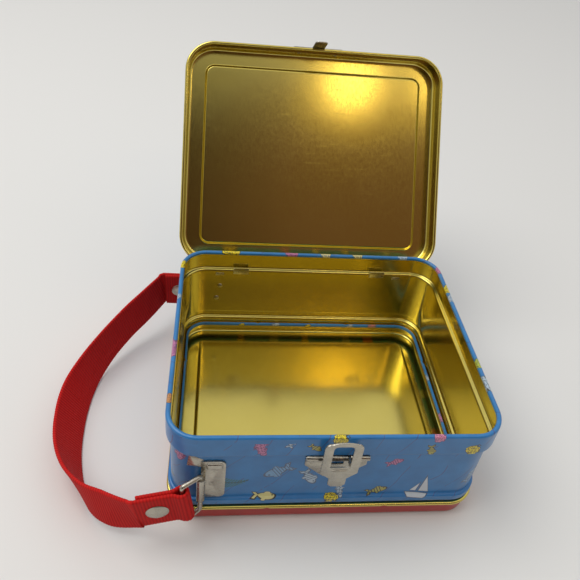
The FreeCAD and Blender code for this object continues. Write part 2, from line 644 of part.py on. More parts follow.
sides = {"front": {"slide": 3.0, "drop": 5.0, "tilt": 8.0, "heading": 6.0},
         "rear": {"slide": 0.5, "drop": 1.0, "tilt": 1.5, "heading": 3.0}}
bracket_parts, ends = {}, {}
for name, hang in sides.items():
    flip = mirror_front if name == "rear" else (lambda shape: shape)
    bracket = strap_bracket()
    rivets = []
    for rivet_x, rivet_z in bracket_rivets:
        at = V(bracket_x + rivet_x, -wall_face + sheet, rivet_z)
        grip = bracket_sheet + sheet
        rivets.append(domed_rivet(at, rivet_radius, rivet_head, rivet_shank, grip, Y_AXIS, 0))
        bracket = drill(bracket, at, rivet_shank, Y_AXIS, hole_depth)
        band = band.cut(flip(rod(at, rivet_shank, hole_depth, Y_AXIS)))
    end = strap_end(hang["drop"], hang["tilt"], hang["heading"])
    ends[name] = end
    bracket_parts["strap_bracket_" + name] = flip(bracket.removeSplitter())
    bracket_parts["bracket_rivets_" + name] = flip(Part.makeCompound(rivets))
    bracket_parts["strap_ring_" + name] = flip(strap_ring(hang["slide"], hang["drop"], hang["tilt"]))
    bracket_parts["strap_end_" + name] = flip(end["end"])
    bracket_parts["strap_rivet_" + name] = flip(end["cap"])
    bracket_parts["strap_rivet_cap_" + name] = flip(end["back_cap"])

front_join = ends["front"]["join"]
rear_join = [V(v.x, -v.y, v.z) for v in ends["rear"]["join"]]
route = [(V(bracket_x + px, py * half_depth, pz), V(*across), None) for (px, py, pz), across in strap_route]
strap_middle = ribbon([(front_join[0], front_join[1], front_join[2] * -1)] + route
                      + [(rear_join[0], rear_join[1], rear_join[2] * -1)])

# ---- dimples that lock the bottom cover to the band's neck ----
dimples = []
dimple_out = bottom_offset / 2 + dimple_radius - dimple_press
dimple_reach = {"x": half_width + dimple_out, "y": half_depth + dimple_out}
dimple_z = bottom_skirt - dimple_below_curl
for along in (-1, 1):
    for side in (-1, 1):
        dimples.append(V(along * dimple_spread, side * dimple_reach["y"], dimple_z))
        dimples.append(V(side * dimple_reach["x"], along * dimple_spread, dimple_z))
for at in dimples:
    inward = V(-at.x, 0, 0) if abs(at.x) > abs(at.y) else V(0, -at.y, 0)
    inward = inward.normalize()
    ball = Part.makeSphere(dimple_radius, at).cut(Part.makeSphere(dimple_radius - sheet, at))
    cup = ball.common(rod(at + inward * dimple_radius, dimple_radius, 2 * (dimple_press + sheet / 2), inward))
    bottom_cover = bottom_cover.fuse(cup)
bottom_cover = bottom_cover.removeSplitter()

parts = {
    "body_band": band,
    "bottom_cover": bottom_cover,
    "lid": opened(lid_closed),
    "latch_base_plate": base,
    "latch_pin": latch_pin,
    "latch_rivets": Part.makeCompound(latch_rivets),
    "latch_lever": lever,
    "lid_catch_plate": opened(catch),
    "catch_rivets": opened(Part.makeCompound(catch_rivets)),
    "strap_middle": strap_middle,
}
parts.update(hinge_parts)
parts.update(bracket_parts)

os.makedirs("parts", exist_ok=True)
for name, shape in parts.items():
    box = shape.BoundBox
    print("%-22s solids %d valid %s  x %.1f..%.1f  y %.1f..%.1f  z %.1f..%.1f" % (
        name, len(shape.Solids), shape.isValid(), box.XMin, box.XMax, box.YMin, box.YMax, box.ZMin, box.ZMax))
    shape.exportStep("parts/" + name + ".step")
print("hinge axis y %.3f z %.3f, latch pin y %.3f z %.3f, ring axis x %.3f y %.3f" % (
    hinge_y, hinge_z, pin_y, pin_z, bracket_x, barrel_y))
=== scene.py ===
# A tin lunch box with a webbing strap, lying open: its looks, piece by piece, in the order of its assembly.
import math

import bmesh
import bpy
from mathutils import Matrix, Vector


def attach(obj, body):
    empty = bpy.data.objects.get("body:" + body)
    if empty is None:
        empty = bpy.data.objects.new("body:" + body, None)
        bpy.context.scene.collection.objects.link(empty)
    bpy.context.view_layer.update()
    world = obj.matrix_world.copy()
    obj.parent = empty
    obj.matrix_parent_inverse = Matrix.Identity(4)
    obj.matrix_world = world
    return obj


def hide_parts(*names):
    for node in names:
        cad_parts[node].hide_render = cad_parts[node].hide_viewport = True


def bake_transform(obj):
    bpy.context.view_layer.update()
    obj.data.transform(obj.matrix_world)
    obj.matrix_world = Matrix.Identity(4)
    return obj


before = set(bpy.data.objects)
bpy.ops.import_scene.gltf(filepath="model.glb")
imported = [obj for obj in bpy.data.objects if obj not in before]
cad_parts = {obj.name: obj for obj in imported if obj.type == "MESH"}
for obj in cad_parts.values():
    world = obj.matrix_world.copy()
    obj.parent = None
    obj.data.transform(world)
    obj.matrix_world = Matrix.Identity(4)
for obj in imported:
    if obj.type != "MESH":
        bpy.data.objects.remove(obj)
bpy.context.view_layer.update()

bpy.context.scene.view_settings.view_transform = "Standard"

# ---- Camera ----
# A hand-held camera in front and a little to the left, looking down into the open box.
# It is tilted by a few degrees.
MM = 0.001
camera_data = bpy.data.cameras.new("camera")
camera_data.sensor_width = 36.0
camera_data.lens = 37.7
camera_data.shift_x, camera_data.shift_y = -0.003, -0.113
camera = bpy.data.objects.new("camera", camera_data)
bpy.context.scene.collection.objects.link(camera)
camera_azimuth, camera_elevation, camera_roll = math.radians(8.78), math.radians(35.36), math.radians(7.29)
camera_aim = Vector((math.sin(camera_azimuth) * math.cos(camera_elevation),
                     math.cos(camera_azimuth) * math.cos(camera_elevation), -math.sin(camera_elevation)))
camera.rotation_mode = "QUATERNION"
camera.rotation_quaternion = (camera_aim.to_track_quat("-Z", "Y")
                              @ Matrix.Rotation(camera_roll, 3, "Z").to_quaternion())
camera.location = Vector((-58.7, -221.0, 291.1)) * MM
camera_data.clip_start, camera_data.clip_end = 0.01, 20.0
bpy.context.scene.camera = camera

# ---- Floor ----
# A plain matt white table top, such as a painted board.
# It is wide enough to fill every view.
floor_reach = 3.0


def linear(code, alpha=1.0):
    """An sRGB hex colour as the linear one that a shader takes."""
    parts = [int(code[i:i + 2], 16) / 255 for i in (1, 3, 5)]
    return tuple(c / 12.92 if c <= 0.04045 else ((c + 0.055) / 1.055) ** 2.4 for c in parts) + (alpha,)


floor_mesh = bpy.data.meshes.new("table_top")
floor_corners = [(x * floor_reach, y * floor_reach, 0) for x, y in ((-1, -1), (1, -1), (1, 1), (-1, 1))]
floor_mesh.from_pydata(floor_corners, [], [(0, 1, 2, 3)])
floor = bpy.data.objects.new("table_top", floor_mesh)
bpy.context.scene.collection.objects.link(floor)
# Matt white paint scatters light evenly, so the table shows only soft shadows.
matt_white = bpy.data.materials.new("matt_white_table")
matt_white.use_nodes = True
matt_white.node_tree.nodes["Principled BSDF"].inputs["Base Color"].default_value = linear("#DEDEDC")
matt_white.node_tree.nodes["Principled BSDF"].inputs["Roughness"].default_value = 0.75
floor_mesh.materials.append(matt_white)

# ---- Room and lamps ----
# A pale room: white overhead and behind the box, dim and brown on the side that the open lid faces,
# so that the lacquer has something to mirror. Two small warm lamps hang on that side.


def add(tree, kind, inputs=(), **settings):
    """A node with its settings. Its inputs, by name or in order, are values, sockets or whole nodes."""
    node = tree.nodes.new(kind)
    for name, value in settings.items():
        setattr(node, name, value)
    for key, value in inputs.items() if isinstance(inputs, dict) else enumerate(inputs):
        if isinstance(value, bpy.types.Node):
            value = value.outputs[0]
        if isinstance(value, bpy.types.NodeSocket):
            tree.links.new(value, node.inputs[key])
        else:
            node.inputs[key].default_value = value
    return node


world = bpy.data.worlds.new("pale_room")
bpy.context.scene.world = world
world.use_nodes = True
room = world.node_tree
room.nodes.clear()
toward = add(room, "ShaderNodeSeparateXYZ", {0: add(room, "ShaderNodeTexCoord").outputs["Generated"]})
height = add(room, "ShaderNodeValToRGB", {0: toward.outputs["Z"]})
height.color_ramp.elements[0].position, height.color_ramp.elements[0].color = 0.0, linear("#B9B7B2")
height.color_ramp.elements[1].position, height.color_ramp.elements[1].color = 0.75, linear("#FFFFFF")
blur = add(room, "ShaderNodeTexNoise", {"Scale": 1.6, "Detail": 1.0})
dim = add(room, "ShaderNodeValToRGB", {0: blur.outputs["Fac"]})
dim.color_ramp.elements[0].position, dim.color_ramp.elements[0].color = 0.42, linear("#2A241E")
dim.color_ramp.elements[1].position, dim.color_ramp.elements[1].color = 0.62, linear("#7A5A4E")
side = add(room, "ShaderNodeMapRange", {0: toward.outputs["Y"], 1: -0.35, 2: -0.75, 3: 0.0, 4: 1.0},
           interpolation_type="SMOOTHSTEP")
low = add(room, "ShaderNodeMapRange", {0: toward.outputs["Z"], 1: 0.86, 2: 0.66, 3: 0.0, 4: 1.0},
          interpolation_type="SMOOTHSTEP")
both = add(room, "ShaderNodeMath", {0: side, 1: low}, operation="MULTIPLY")
shade = add(room, "ShaderNodeMix", {0: both, 6: height, 7: dim},
            data_type="RGBA")
sky = add(room, "ShaderNodeBackground", {"Color": shade.outputs[2], "Strength": 0.8})
add(room, "ShaderNodeOutputWorld", {0: sky})


def lamp(name, place, aim, size, power, colour):
    """A round soft lamp, aimed at a place."""
    data = bpy.data.lights.new(name, "AREA")
    data.shape = "DISK"
    data.size, data.energy, data.color = size, power, linear(colour)[:3]
    light = bpy.data.objects.new(name, data)
    light.location = Vector(place)
    light.rotation_euler = (Vector(aim) - Vector(place)).to_track_quat("-Z", "Y").to_euler()
    bpy.context.scene.collection.objects.link(light)


lamp("soft_overhead", (-0.75, 0.10, 1.45), (0, 0, 0), 1.2, 12.0, "#FFFDFA")
lamp("warm_lamp_left", (0.33, -0.86, 1.21), (0.03, 0.13, 0.15), 0.13, 0.34, "#FFE2A0")
lamp("warm_lamp_right", (0.60, -0.82, 1.19), (0.06, 0.13, 0.15), 0.11, 0.2, "#FFE2A0")

# ---- Body band ----
# One strip of 0.35 mm tinplate, printed blue outside and lacquered gold inside, bent round and joined.
# Its top is rolled inward to a rim and steps in under a collar. Its foot flares over the bottom cover, and a
# neck below it ends in an inward curl.
sheet = 0.35 * MM
collar_width, collar_depth, collar_corner = 155.0 * MM, 129.0 * MM, 15.0 * MM
rim_top, rim_curl, collar_height = 65.5 * MM, 1.0 * MM, 12.2 * MM
collar_step, step_radius = 2.0 * MM, 1.2 * MM
foot_flare, foot_height, foot_radius, foot_gap, neck_height = 1.5 * MM, 2.6 * MM, 0.9 * MM, 0.3 * MM, 3.6 * MM
bottom_curl_z, cover_bead = 10.4 * MM, 0.85 * MM
arc_step, line_end, band_step, curl_turn = 15.0, 0.25 * MM, 2.5 * MM, 270
dimple_spread, dimple_width, dimple_press, dimple_z = 29.0 * MM, 1.9 * MM, 0.67 * MM, 9.2 * MM


def joggle(offset, radius):
    """Two equal opposite bends that move a strip sideways, to the left of its heading if positive."""
    turn = math.degrees(math.acos(1 - abs(offset) / (2 * radius)))
    way = 1 if offset > 0 else -1
    return [("arc", radius, way * turn), ("arc", radius, -way * turn)]


def joggle_run(offset, radius):
    """How far along a strip the two bends of a joggle reach."""
    return 2 * radius * math.sin(math.acos(1 - abs(offset) / (2 * radius)))


def bend_strip(start, heading, moves, step=1.0 * MM):
    """Stations (x, z, heading, distance) along the middle of a bent strip, a step apart where it is flat."""
    x, z, a, run = start[0], start[1], math.radians(heading), 0.0
    stations = [(x, z, a, run)]
    for move in moves:
        if move[0] == "line":
            inner = max(1, round(move[1] / step))
            stops = [line_end] + [move[1] * k / inner for k in range(1, inner)] + [move[1] - line_end,
                                                                                   move[1]]
            if move[1] < 4 * line_end:
                stops = [move[1]]
            for stop in stops:
                stations.append((x + stop * math.cos(a), z + stop * math.sin(a), a, run + stop))
            x, z, run = x + move[1] * math.cos(a), z + move[1] * math.sin(a), run + move[1]
        else:
            steps = max(3, math.ceil(abs(move[2]) / arc_step))
            turn = math.radians(move[2]) / steps
            for _ in range(steps):
                chord = 2 * move[1] * math.sin(abs(turn) / 2)
                x, z = x + chord * math.cos(a + turn / 2), z + chord * math.sin(a + turn / 2)
                a, run = a + turn, run + move[1] * abs(turn)
                stations.append((x, z, a, run))
    return stations


def round_path(width, depth, radius, stops, step=3.0 * MM, corner_steps=16):
    """Points (x, y, outward x, outward y, distance) round a rounded rectangle, from the front's left end."""
    path = []
    run = 0.0
    for turn in range(4):
        length = (width if turn % 2 == 0 else depth) - 2 * radius
        reach = (depth if turn % 2 == 0 else width) / 2
        spin = Matrix.Rotation(turn * math.pi / 2, 2)
        count = math.ceil(length / step)
        places = sorted(set([round(-length / 2 + length * k / count, 6) for k in range(count + 1)]
                            + [round(s, 6) for s in stops if abs(s) < length / 2]))
        for s in places:
            p, n = spin @ Vector((s, -reach)), spin @ Vector((0, -1))
            path.append((p.x, p.y, n.x, n.y, run + s + length / 2))
        run += length
        centre = spin @ Vector((length / 2, -reach + radius))
        for k in range(1, corner_steps):
            n = Matrix.Rotation(turn * math.pi / 2 + k / corner_steps * math.pi / 2, 2) @ Vector((0, -1))
            path.append((centre.x + radius * n.x, centre.y + radius * n.y, n.x, n.y,
                         run + radius * k / corner_steps * math.pi / 2))
        run += radius * math.pi / 2
    return path, run


def pressed_sheet(name, stations, path, around, materials, flat_panel=False, left_out=None, push=None):
    """Sweep a bent strip round a path, with materials for its left face, its right face and its cut edges.

    left_out says which cells are cut away, and push moves points inward, as a punch does.
    """
    mesh = bpy.data.meshes.new(name)
    bm = bmesh.new()
    layer = bm.loops.layers.uv.new("print")
    columns, rows = len(path), len(stations)
    grid = {}
    for side in (1, -1):
        for i, (px, py, nx, ny, _) in enumerate(path):
            for j, (sx, sz, a, _) in enumerate(stations):
                x, z = sx - side * math.sin(a) * sheet / 2, sz + side * math.cos(a) * sheet / 2
                if push:
                    x -= push(px, py, z)
                grid[side, i, j] = bm.verts.new((px + nx * x, py + ny * x, z))

    def there(i, j):
        return 0 <= j < rows - 1 and not (left_out and left_out(path[i % columns], stations[j]))

    def face(corners, index, marks):
        made = bm.faces.new(corners)
        made.material_index, made.smooth = index, True
        for loop, mark in zip(made.loops, marks):
            loop[layer].uv = mark
        return made

    for i in range(columns):
        k = (i + 1) % columns
        u0, u1 = path[i][4], path[k][4] if k else around
        for j in range(rows - 1):
            if not there(i, j):
                continue
            v0, v1 = stations[j][3], stations[j + 1][3]
            marks = [(u0, v0), (u0, v1), (u1, v1), (u1, v0)]
            left = [grid[1, i, j], grid[1, i, j + 1], grid[1, k, j + 1], grid[1, k, j]]
            right = [grid[-1, i, j], grid[-1, k, j], grid[-1, k, j + 1], grid[-1, i, j + 1]]
            face(left, 0, marks)
            face(right, 1, [marks[0], marks[3], marks[2], marks[1]])
            for near, far, missing in ((0, 1, not there(i - 1, j)), (2, 3, not there(i + 1, j)),
                                       (3, 0, j == 0 and not flat_panel), (1, 2, not there(i, j + 1))):
                if missing:
                    twins = {left[n]: right[(4 - n) % 4] for n in range(4)}
                    face([left[far], left[near], twins[left[near]], twins[left[far]]], 2, [marks[near]] * 4)
    if flat_panel:
        for side, index in ((1, 0), (-1, 1)):
            ring = [grid[side, i, 0] for i in range(columns)]
            if side == -1:
                ring.reverse()
            made = face(ring, index, [(0, 0)] * columns)
            made.smooth = False
    loose = [v for v in bm.verts if not v.link_faces]
    bmesh.ops.delete(bm, geom=loose, context="VERTS")
    bmesh.ops.recalc_face_normals(bm, faces=bm.faces)
    bm.to_mesh(mesh)
    bm.free()
    for material in materials:
        mesh.materials.append(material)
    piece = bpy.data.objects.new(name, mesh)
    bpy.context.scene.collection.objects.link(piece)
    return piece


def new_material(name):
    """A material, its node tree and its shader."""
    made = bpy.data.materials.new(name)
    made.use_nodes = True
    return made, made.node_tree, made.node_tree.nodes["Principled BSDF"]


# Gold lacquer is a clear yellow stoving lacquer over bright tin, so it mirrors like brass but softly. The tin
# under it has a fine grain, drawn coarser than it is so that it shows, and faint hair scratches from use.
gold_lacquer, tree, shader = new_material("gold_lacquered_tinplate")
place = add(tree, "ShaderNodeTexCoord").outputs["Object"]
grain_stretch = add(tree, "ShaderNodeMapping", {"Vector": place, "Scale": (1.0, 0.35, 0.35)})
grain = add(tree, "ShaderNodeTexNoise", {"Vector": grain_stretch, "Scale": 1 / (0.9 * MM),
                                         "Detail": 3.0})
cloud = add(tree, "ShaderNodeTexNoise", {"Vector": place, "Scale": 1 / (38 * MM), "Detail": 2.0})
scratch_stretch = add(tree, "ShaderNodeMapping", {"Vector": place, "Rotation": (0.3, 0.5, 0.9),
                                                  "Scale": (1, 14, 14)})
scratch = add(tree, "ShaderNodeTexNoise", {"Vector": scratch_stretch, "Scale": 1 / (22 * MM),
                                           "Detail": 5.0})
scratch_line = add(tree, "ShaderNodeMapRange", {0: scratch.outputs["Fac"], 1: 0.66, 2: 0.72, 3: 0.0, 4: 1.0})
tone = add(tree, "ShaderNodeMix", {0: cloud.outputs["Fac"], 6: linear("#D2C060"), 7: linear("#DACA74")},
           data_type="RGBA")
tree.links.new(tone.outputs[2], shader.inputs["Base Color"])
shader.inputs["Metallic"].default_value = 1.0
soft = add(tree, "ShaderNodeMapRange", {0: grain.outputs["Fac"], 1: 0.3, 2: 0.7, 3: 0.15, 4: 0.20})
softer = add(tree, "ShaderNodeMath", {0: scratch_line, 1: 0.04, 2: soft},
             operation="MULTIPLY_ADD")
tree.links.new(softer.outputs[0], shader.inputs["Roughness"])
grain_bump = add(tree, "ShaderNodeBump", {"Strength": 0.05, "Distance": 0.02 * MM,
                                          "Height": grain.outputs["Fac"]})
dent_bump = add(tree, "ShaderNodeBump", {"Strength": 0.25, "Distance": 0.35 * MM,
                                         "Height": cloud.outputs["Fac"], "Normal": grain_bump})
tree.links.new(dent_bump.outputs[0], shader.inputs["Normal"])

# The cut edge of tinplate is bare steel with its bright tin rolled over it.
tin_edge, tree, shader = new_material("bare_tinplate_edge")
shader.inputs["Base Color"].default_value = linear("#A8A49A")
shader.inputs["Metallic"].default_value = 1.0
speck = add(tree, "ShaderNodeTexNoise", {"Vector": add(tree, "ShaderNodeTexCoord").outputs["Object"],
                                         "Scale": 1 / (0.6 * MM)})
tree.links.new(add(tree, "ShaderNodeMapRange", {0: speck.outputs["Fac"], 3: 0.25, 4: 0.55}).outputs[0],
               shader.inputs["Roughness"])


def art_group(name, extra):
    """A picture that the litho press prints at a place on the sheet.

    Returns the group, its inputs and its own axes, which run from -0.5 to 0.5 along the picture's length.
    """
    group = bpy.data.node_groups.new(name, "ShaderNodeTree")
    sockets = [("Sheet", "NodeSocketVector"), ("Place", "NodeSocketVector"), ("Turn", "NodeSocketFloat"),
               ("Length", "NodeSocketFloat"), ("Under", "NodeSocketColor"), ("Fill", "NodeSocketColor"),
               ("Ink", "NodeSocketColor")]
    for label, kind in sockets + extra:
        group.interface.new_socket(label, in_out="INPUT", socket_type=kind)
    group.interface.new_socket("Colour", in_out="OUTPUT", socket_type="NodeSocketColor")
    given = add(group, "NodeGroupInput").outputs
    shift = add(group, "ShaderNodeVectorMath", {0: given["Sheet"], 1: given["Place"]}, operation="SUBTRACT")
    upright = add(group, "ShaderNodeVectorMath", {0: shift, 1: (1, -1, 1)}, operation="MULTIPLY")
    turned = add(group, "ShaderNodeVectorRotate", {"Vector": upright, "Angle": given["Turn"]},
                 rotation_type="Z_AXIS")
    share = add(group, "ShaderNodeMath", {0: 1.0, 1: given["Length"]}, operation="DIVIDE")
    own = add(group, "ShaderNodeVectorMath", {0: turned, "Scale": share},
              operation="SCALE")
    return group, given, own.outputs[0]


def art_finish(group, given, inside, ink):
    """Colour: ink over fill inside the picture's outline, and what is under it outside."""
    print_over = add(group, "ShaderNodeMix", {0: ink, 6: given["Fill"], 7: given["Ink"]}, data_type="RGBA")
    laid = add(group, "ShaderNodeMix", {0: inside, 6: given["Under"], 7: print_over.outputs[2]},
               data_type="RGBA")
    add(group, "NodeGroupOutput", {0: laid.outputs[2]})


def oval(group, own, centre, half_sizes):
    """Below zero inside an oval."""
    shift = add(group, "ShaderNodeVectorMath", {0: own, 1: centre + (0,)}, operation="SUBTRACT")
    scaled = add(group, "ShaderNodeVectorMath", {0: shift, 1: half_sizes + (1.0,)},
                 operation="DIVIDE")
    length = add(group, "ShaderNodeVectorMath", {0: scaled}, operation="LENGTH")
    return add(group, "ShaderNodeMath", {0: length.outputs["Value"], 1: 1.0}, operation="SUBTRACT").outputs[0]


# A generic fish: an oval body, a forked tail, two fins, an eye and a few ink lines for scales.
fish_art, given, own = art_group("printed_fish", [("Ridges", "NodeSocketFloat")])
along, up = add(fish_art, "ShaderNodeSeparateXYZ", (own,)).outputs[:2]
body_shape = oval(fish_art, own, (0.08, 0.0), (0.36, 0.17))
back_fin = oval(fish_art, own, (0.10, 0.17), (0.13, 0.08))
low_fin = oval(fish_art, own, (-0.02, -0.17), (0.09, 0.07))
off_axis = add(fish_art, "ShaderNodeMath", (up,), operation="ABSOLUTE")
tail_slope = add(fish_art, "ShaderNodeMath", (along, 3.6, 0.62), operation="MULTIPLY_ADD")
tail_spread = add(fish_art, "ShaderNodeMath", (off_axis, 3.0, tail_slope), operation="MULTIPLY_ADD")
fork = add(fish_art, "ShaderNodeMath", (off_axis, 0.7, along), operation="MULTIPLY_ADD")
tail_notch = add(fish_art, "ShaderNodeMath", (fork, -5.0, -1.8), operation="MULTIPLY_ADD")
tail_tips = add(fish_art, "ShaderNodeMath", (off_axis, 5.0, -0.95), operation="MULTIPLY_ADD")
forked = add(fish_art, "ShaderNodeMath", (tail_spread, tail_notch), operation="MAXIMUM")
tail_shape = add(fish_art, "ShaderNodeMath", (forked, tail_tips), operation="MAXIMUM")
body_and_fin = add(fish_art, "ShaderNodeMath", (body_shape, back_fin), operation="MINIMUM")
fin_and_tail = add(fish_art, "ShaderNodeMath", (low_fin, tail_shape), operation="MINIMUM")
outline = add(fish_art, "ShaderNodeMath", (body_and_fin, fin_and_tail), operation="MINIMUM")
inside = add(fish_art, "ShaderNodeMath", (outline, 0.05), operation="LESS_THAN")
edge_ink = add(fish_art, "ShaderNodeMath", (outline, -0.14), operation="GREATER_THAN")
eye_shape = oval(fish_art, own, (0.30, 0.04), (0.035, 0.035))
eye = add(fish_art, "ShaderNodeMath", (eye_shape, 0.0), operation="LESS_THAN")
ridge_turn = add(fish_art, "ShaderNodeMath", (along, given["Ridges"]), operation="MULTIPLY")
ridge_wave = add(fish_art, "ShaderNodeMath", (ridge_turn,), operation="SINE")
ridge = add(fish_art, "ShaderNodeMath", (ridge_wave, 0.55), operation="GREATER_THAN")
behind_head = add(fish_art, "ShaderNodeMath", (along, 0.18), operation="LESS_THAN")
scales = add(fish_art, "ShaderNodeMath", (ridge, behind_head), operation="MULTIPLY")
edge_and_eye = add(fish_art, "ShaderNodeMath", (edge_ink, eye), operation="MAXIMUM")
ink = add(fish_art, "ShaderNodeMath", (edge_and_eye, scales), operation="MAXIMUM")
art_finish(fish_art, given, inside, ink)

# A generic sailing boat: a tall sail, a small one and a hull with a sloping bow.
boat_art, given, own = art_group("printed_boat", [])
along, up = add(boat_art, "ShaderNodeSeparateXYZ", (own,)).outputs[:2]
back = add(boat_art, "ShaderNodeMath", (along, -1.0), operation="MULTIPLY")
above_deck = add(boat_art, "ShaderNodeMath", (-0.22, up), operation="SUBTRACT")
sails = []
for ahead, slope, top in ((along, 2.4, 0.5), (back, 2.2, 0.22)):
    luff = add(boat_art, "ShaderNodeMath", (0.015, ahead), operation="SUBTRACT")
    below_top = add(boat_art, "ShaderNodeMath", (up, top), operation="SUBTRACT")
    leech = add(boat_art, "ShaderNodeMath", (ahead, slope, below_top), operation="MULTIPLY_ADD")
    sails.append(add(boat_art, "ShaderNodeMath", (luff, leech), operation="MAXIMUM"))
both_sails = add(boat_art, "ShaderNodeMath", sails, operation="MINIMUM")
rig = add(boat_art, "ShaderNodeMath", (both_sails, above_deck), operation="MAXIMUM")
amidships = add(boat_art, "ShaderNodeMath", (along,), operation="ABSOLUTE")
past_end = add(boat_art, "ShaderNodeMath", (amidships, 0.46), operation="SUBTRACT")
hull_side = add(boat_art, "ShaderNodeMath", (up, -0.6, past_end), operation="MULTIPLY_ADD")
from_hull = add(boat_art, "ShaderNodeMath", (up, 0.34), operation="ADD")
hull_away = add(boat_art, "ShaderNodeMath", (from_hull,), operation="ABSOLUTE")
hull_depth = add(boat_art, "ShaderNodeMath", (hull_away, 0.09), operation="SUBTRACT")
hull = add(boat_art, "ShaderNodeMath", (hull_side, hull_depth), operation="MAXIMUM")
outline = add(boat_art, "ShaderNodeMath", (rig, hull), operation="MINIMUM")
inside = add(boat_art, "ShaderNodeMath", (outline, 0.0), operation="LESS_THAN")
ink = add(boat_art, "ShaderNodeMath", (outline, -0.025), operation="GREATER_THAN")
art_finish(boat_art, given, inside, ink)

# A scrap of a picture with an uneven outline and a few ink strokes, for crabs, shells and torn clouds.
scrap_art, given, own = art_group("printed_scrap", [("Squash", "NodeSocketFloat")])
wobble = add(scrap_art, "ShaderNodeTexNoise", {"Vector": own, "Scale": 3.4, "Detail": 3.0}).outputs["Color"]
centred = add(scrap_art, "ShaderNodeVectorMath", (wobble, (0.5, 0.5, 0.5)), operation="SUBTRACT")
pulled = add(scrap_art, "ShaderNodeVectorMath", (centred, (0.7, 0.7, 0.0), own), operation="MULTIPLY_ADD")
along, up = add(scrap_art, "ShaderNodeSeparateXYZ", (pulled,)).outputs[:2]
tall = add(scrap_art, "ShaderNodeMath", (up, given["Squash"]), operation="DIVIDE")
tall_squared = add(scrap_art, "ShaderNodeMath", (tall, tall), operation="MULTIPLY")
reach_squared = add(scrap_art, "ShaderNodeMath", (along, along, tall_squared), operation="MULTIPLY_ADD")
reach = add(scrap_art, "ShaderNodeMath", (reach_squared,), operation="SQRT")
inside = add(scrap_art, "ShaderNodeMath", (reach, 0.42), operation="LESS_THAN")
edge_ink = add(scrap_art, "ShaderNodeMath", (reach, 0.37), operation="GREATER_THAN")
stroke_noise = add(scrap_art, "ShaderNodeTexNoise", {"Vector": own, "Scale": 7.5,
                                                     "Detail": 2.0}).outputs["Fac"]
stroke = add(scrap_art, "ShaderNodeMath", (stroke_noise, 0.5, 0.035), operation="COMPARE")
ink = add(scrap_art, "ShaderNodeMath", (stroke, edge_ink), operation="MAXIMUM")
art_finish(scrap_art, given, inside, ink)

# A generic sprig of weed: a bent stalk with narrow leaves on both sides.
weed_art, given, own = art_group("printed_weed", [])
along, up = add(weed_art, "ShaderNodeSeparateXYZ", (own,)).outputs[:2]
along_squared = add(weed_art, "ShaderNodeMath", (along, along), operation="MULTIPLY")
bend = add(weed_art, "ShaderNodeMath", (along_squared, -0.5, up), operation="MULTIPLY_ADD")
off_stalk = add(weed_art, "ShaderNodeMath", (bend,), operation="ABSOLUTE")
leaf_lean = add(weed_art, "ShaderNodeMath", (off_stalk, -46.0), operation="MULTIPLY")
leaf_turn = add(weed_art, "ShaderNodeMath", (along, 52.0, leaf_lean), operation="MULTIPLY_ADD")
leaf_wave = add(weed_art, "ShaderNodeMath", (leaf_turn,), operation="SINE")
leaf = add(weed_art, "ShaderNodeMath", (leaf_wave, -0.15), operation="GREATER_THAN")
leaf_reach = add(weed_art, "ShaderNodeMath", (along, -0.34, 0.2), operation="MULTIPLY_ADD")
near_stalk = add(weed_art, "ShaderNodeMath", (off_stalk, leaf_reach), operation="LESS_THAN")
leaves = add(weed_art, "ShaderNodeMath", (near_stalk, leaf), operation="MINIMUM")
stalk = add(weed_art, "ShaderNodeMath", (off_stalk, 0.025), operation="LESS_THAN")
plant = add(weed_art, "ShaderNodeMath", (leaves, stalk), operation="MAXIMUM")
from_middle = add(weed_art, "ShaderNodeMath", (along,), operation="ABSOLUTE")
within_length = add(weed_art, "ShaderNodeMath", (from_middle, 0.5), operation="LESS_THAN")
inside = add(weed_art, "ShaderNodeMath", (plant, within_length), operation="MULTIPLY")
art_finish(weed_art, given, inside, stalk)

front_run = collar_width - 2 * collar_corner
corner_run = collar_corner * math.pi / 2
side_run = collar_depth - 2 * collar_corner
YELLOW, PALE, PINK, GREEN, CREAM = "#E0CC20", "#A9BCCB", "#B8709A", "#A8A24A", "#D6CE90"
SILVER, SAIL, WEED, WEED_INK = "#6F9AC0", "#C6CCD2", "#2C6A5E", "#1E4A50"
LITHO_BLUE, LITHO_BLUE_DARK = "#2477B6", "#1F6BA8"
DARK_INK, PURPLE_INK, GREY_INK = "#2A2C30", "#6A3A66", "#4A5C78"


def stamp_all(tree, pictures, sheet_place, colour):
    """Print pictures (kind, place round, place down, length, turn, fill, ink, own setting) over a colour."""
    for art, u, v, length, turn, fill, ink_colour, extra in pictures:
        stamp = add(tree, "ShaderNodeGroup", node_tree=art)
        tree.links.new(sheet_place, stamp.inputs["Sheet"])
        tree.links.new(colour, stamp.inputs["Under"])
        stamp.inputs["Place"].default_value = (u * MM, v * MM, 0)
        stamp.inputs["Turn"].default_value = -math.radians(turn)
        stamp.inputs["Length"].default_value = length * MM
        stamp.inputs["Fill"].default_value = linear(fill)
        stamp.inputs["Ink"].default_value = linear(ink_colour)
        if extra is not None:
            stamp.inputs[7].default_value = extra
        colour = stamp.outputs[0]
    return colour


